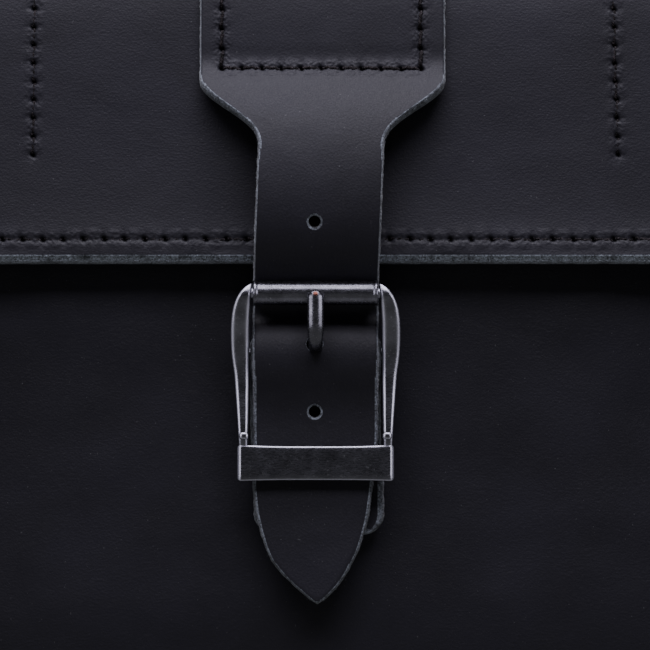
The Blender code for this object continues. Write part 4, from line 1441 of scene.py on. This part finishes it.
def make_prong():
    """The bent prong: an eye round the bar, a shank with a flat-topped oval section, a worn tip."""
    run = Track(smooth_curve(PRONG_RUN, 9) * MM)
    work = bmesh.new()
    rings = []
    total = len(run.points)
    for k, (spot, normal) in enumerate(zip(run.points, run.normals)):
        grown = float(smoothstep((k / total - 0.33) / 0.33))
        left = (run.length - run.marks[k]) / (2.6 * MM)
        tip = math.sqrt(max(1.0 - max(1.0 - left, 0.0) ** 2, 0.02))
        half_x = (2.2 + 0.5 * grown) * MM * tip
        half_n = (1.6 + 0.3 * grown) * MM * tip
        rings.append([
            (strap_x + a, spot[0] + normal[0] * b, spot[1] + normal[1] * b)
            for a, b in superellipse(half_x, half_n, 36, power=0.95)
        ])
    add_rings(work, rings)
    eye, bore, half = 4.0 * MM, 2.3 * MM, 2.6 * MM
    profile = [(bore, -half), (eye - 0.5 * MM, -half), (eye, -half + 0.5 * MM)]
    profile += [(eye, half - 0.5 * MM), (eye - 0.5 * MM, half), (bore, half)]
    add_turned(work, profile, bar_axis, 40)
    metal_piece("prong_wire", work, PRONG_PAINT, "prong", "buckle_prong", sharp=60)


def make_rings():
    """The four closed wire loops on the back, each with a brazed joint."""
    for place in ("upper_left", "upper_right", "lower_left", "lower_right"):
        node = f"back_ring_{place}"
        low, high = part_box(node)
        wire = (high.y - low.y) / 2
        radius = 5 * MM
        half = (high.x - low.x) / 2 - wire
        drop = (high.z - low.z) - 2 * wire
        middle_x, y, top = (low.x + high.x) / 2, (low.y + high.y) / 2, high.z - wire
        corners = (
            (half - radius, -radius, 0), (-half + radius, -radius, 90),
            (-half + radius, radius - drop, 180), (half - radius, radius - drop, 270),
        )
        route = []
        for across, down, turn in corners:
            route += arc((middle_x + across, top + down), radius, turn, turn + 90, 8)
        count = len(route)
        work = bmesh.new()
        rings = []
        for k in range(count):
            before, after = np.array(route[k - 1]), np.array(route[(k + 1) % count])
            run = (after - before) / np.linalg.norm(after - before)
            across = (run[1], -run[0])
            thick = wire * (1.06 if k == count // 2 else 1.0)
            rings.append([
                (
                    route[k][0] + across[0] * thick * math.cos(a), y + thick * math.sin(a),
                    route[k][1] + across[1] * thick * math.cos(a),
                )
                for a in circle(20)
            ])
        add_rings(work, rings, looped=True)
        metal_piece(f"ring_wire_{place}", work, METAL_PAINT, f"ring_{place}", node, sharp=60)


def paint_cad_nodes():
    """The rivets and the board keep their CAD shape and get their materials here."""
    for name, node in frame["nodes"].items():
        if "rivet" in name:
            node.data.materials.clear()
            node.data.materials.append(METAL_PAINT)
        if name == "back_board":
            node.data.materials.clear()
            node.data.materials.append(BOARD_PAINT)


# ---- Setting ----------------------------------------------------------------------------


SENSOR_WIDTH = 36.0
FRAME_WIDTH = 0.208
CAMERA_DISTANCE = 1.40
CAMERA_ELEVATION = -3.0
LOOK_AT = (2.2 * MM, -0.070, 0.140)
METAL_PIECES = ("buckle_casting", "roller_tube", "prong_wire")
COOL_LIGHT = (0.97, 0.94, 1.06)
BOX_SIZE = (1.2, 0.4)
OVERHEAD = (0.0, -0.30, 1.27)
# Each soft box: name, place and power in watts.
SOFT_BOXES = (
    ("front_box", (-0.05, -0.80, 1.05), 7.2), ("top_box", (-0.05, -0.30, 1.27), 10.5),
    ("back_box", (0.30, 1.10, 0.80), 9.0),
)


def make_floor():
    """A plain pale floor with a faint, even grain."""
    paint = Paint("floor")
    cloud = paint.noise(paint.places(), 6.0)
    material = paint.finished({
        "Base Color": paint.mix(cloud, grey(0.60), grey(0.68)), "Roughness": 0.85,
    })
    work = bmesh.new()
    bmesh.ops.create_grid(work, x_segments=8, y_segments=8, size=3.0)
    for vert in work.verts:
        vert.co.z = -0.4 * MM
    floor = link("floor", mesh_from(work, "floor", material))
    return floor


def aim(thing, place, target):
    """Put a light or camera at a place, looking at a target."""
    thing.location = place
    thing.rotation_euler = (Vector(target) - Vector(place)).to_track_quat("-Z", "Y").to_euler()


def make_light(name, place, size, power, colour=COOL_LIGHT):
    """A rectangular soft light that looks at the buckle."""
    data = bpy.data.lights.new(name, "AREA")
    data.shape = "RECTANGLE"
    data.size, data.size_y = size
    data.energy = power
    data.color = colour
    light = link(name, data)
    aim(light, place, LOOK_AT)
    return light


def light_only(light, things, state="INCLUDE"):
    """Let a light reach only some things, or all but them."""
    group = bpy.data.collections.new(light.name + "_receivers")
    for thing in things:
        group.objects.link(thing)
    light.light_linking.receiver_collection = group
    for entry in group.collection_objects:
        entry.light_linking.link_state = state


def make_lights(floor):
    """Soft boxes on the bag, lights that draw lines on the metal, and a dim light on the floor."""
    for name, place, power in SOFT_BOXES:
        light_only(make_light(name, place, BOX_SIZE, power), [floor], "EXCLUDE")
    metal = [bpy.data.objects[name] for name in METAL_PIECES]
    for name, side in (("left_strip", -1.0), ("right_strip", 1.0)):
        light_only(make_light(name, (0.85 * side, -0.75, 0.20), (0.8, 0.9), 6.4), metal)
    low_strip = make_light("low_strip", (0.0, -0.13, 0.02), (0.5, 0.08), 0.018)
    light_only(low_strip, [bpy.data.objects["roller_tube"]])
    light_only(make_light("floor_box", OVERHEAD, BOX_SIZE, 3.6, (1.0, 1.0, 1.0)), [floor])


def make_surround():
    """A dim grey surround."""
    world = bpy.data.worlds.new("surround")
    world.use_nodes = True
    background = world.node_tree.nodes["Background"]
    background.inputs["Color"].default_value = (0.80, 0.82, 0.88, 1.0)
    background.inputs["Strength"].default_value = 0.043
    bpy.context.scene.world = world


def make_camera():
    """A long lens slightly below the buckle's height, FRAME_WIDTH across at the place it looks at."""
    data = bpy.data.cameras.new("view")
    data.sensor_width = SENSOR_WIDTH
    data.lens = SENSOR_WIDTH * CAMERA_DISTANCE / FRAME_WIDTH
    data.clip_start = 0.05
    camera = link("view", data)
    rise = math.radians(CAMERA_ELEVATION)
    back = Vector((0.0, -math.cos(rise), math.sin(rise))) * CAMERA_DISTANCE
    aim(camera, Vector(LOOK_AT) + back, LOOK_AT)
    bpy.context.scene.camera = camera


make_lid()
make_lining()
make_lid_bands()
make_front_panel()
make_back_panel()
make_gusset()
make_mouth_band()
make_strap()
make_chape()
make_tabs()
make_casting()
make_roller()
make_prong()
make_rings()
paint_cad_nodes()
make_lights(make_floor())
make_surround()
make_camera()
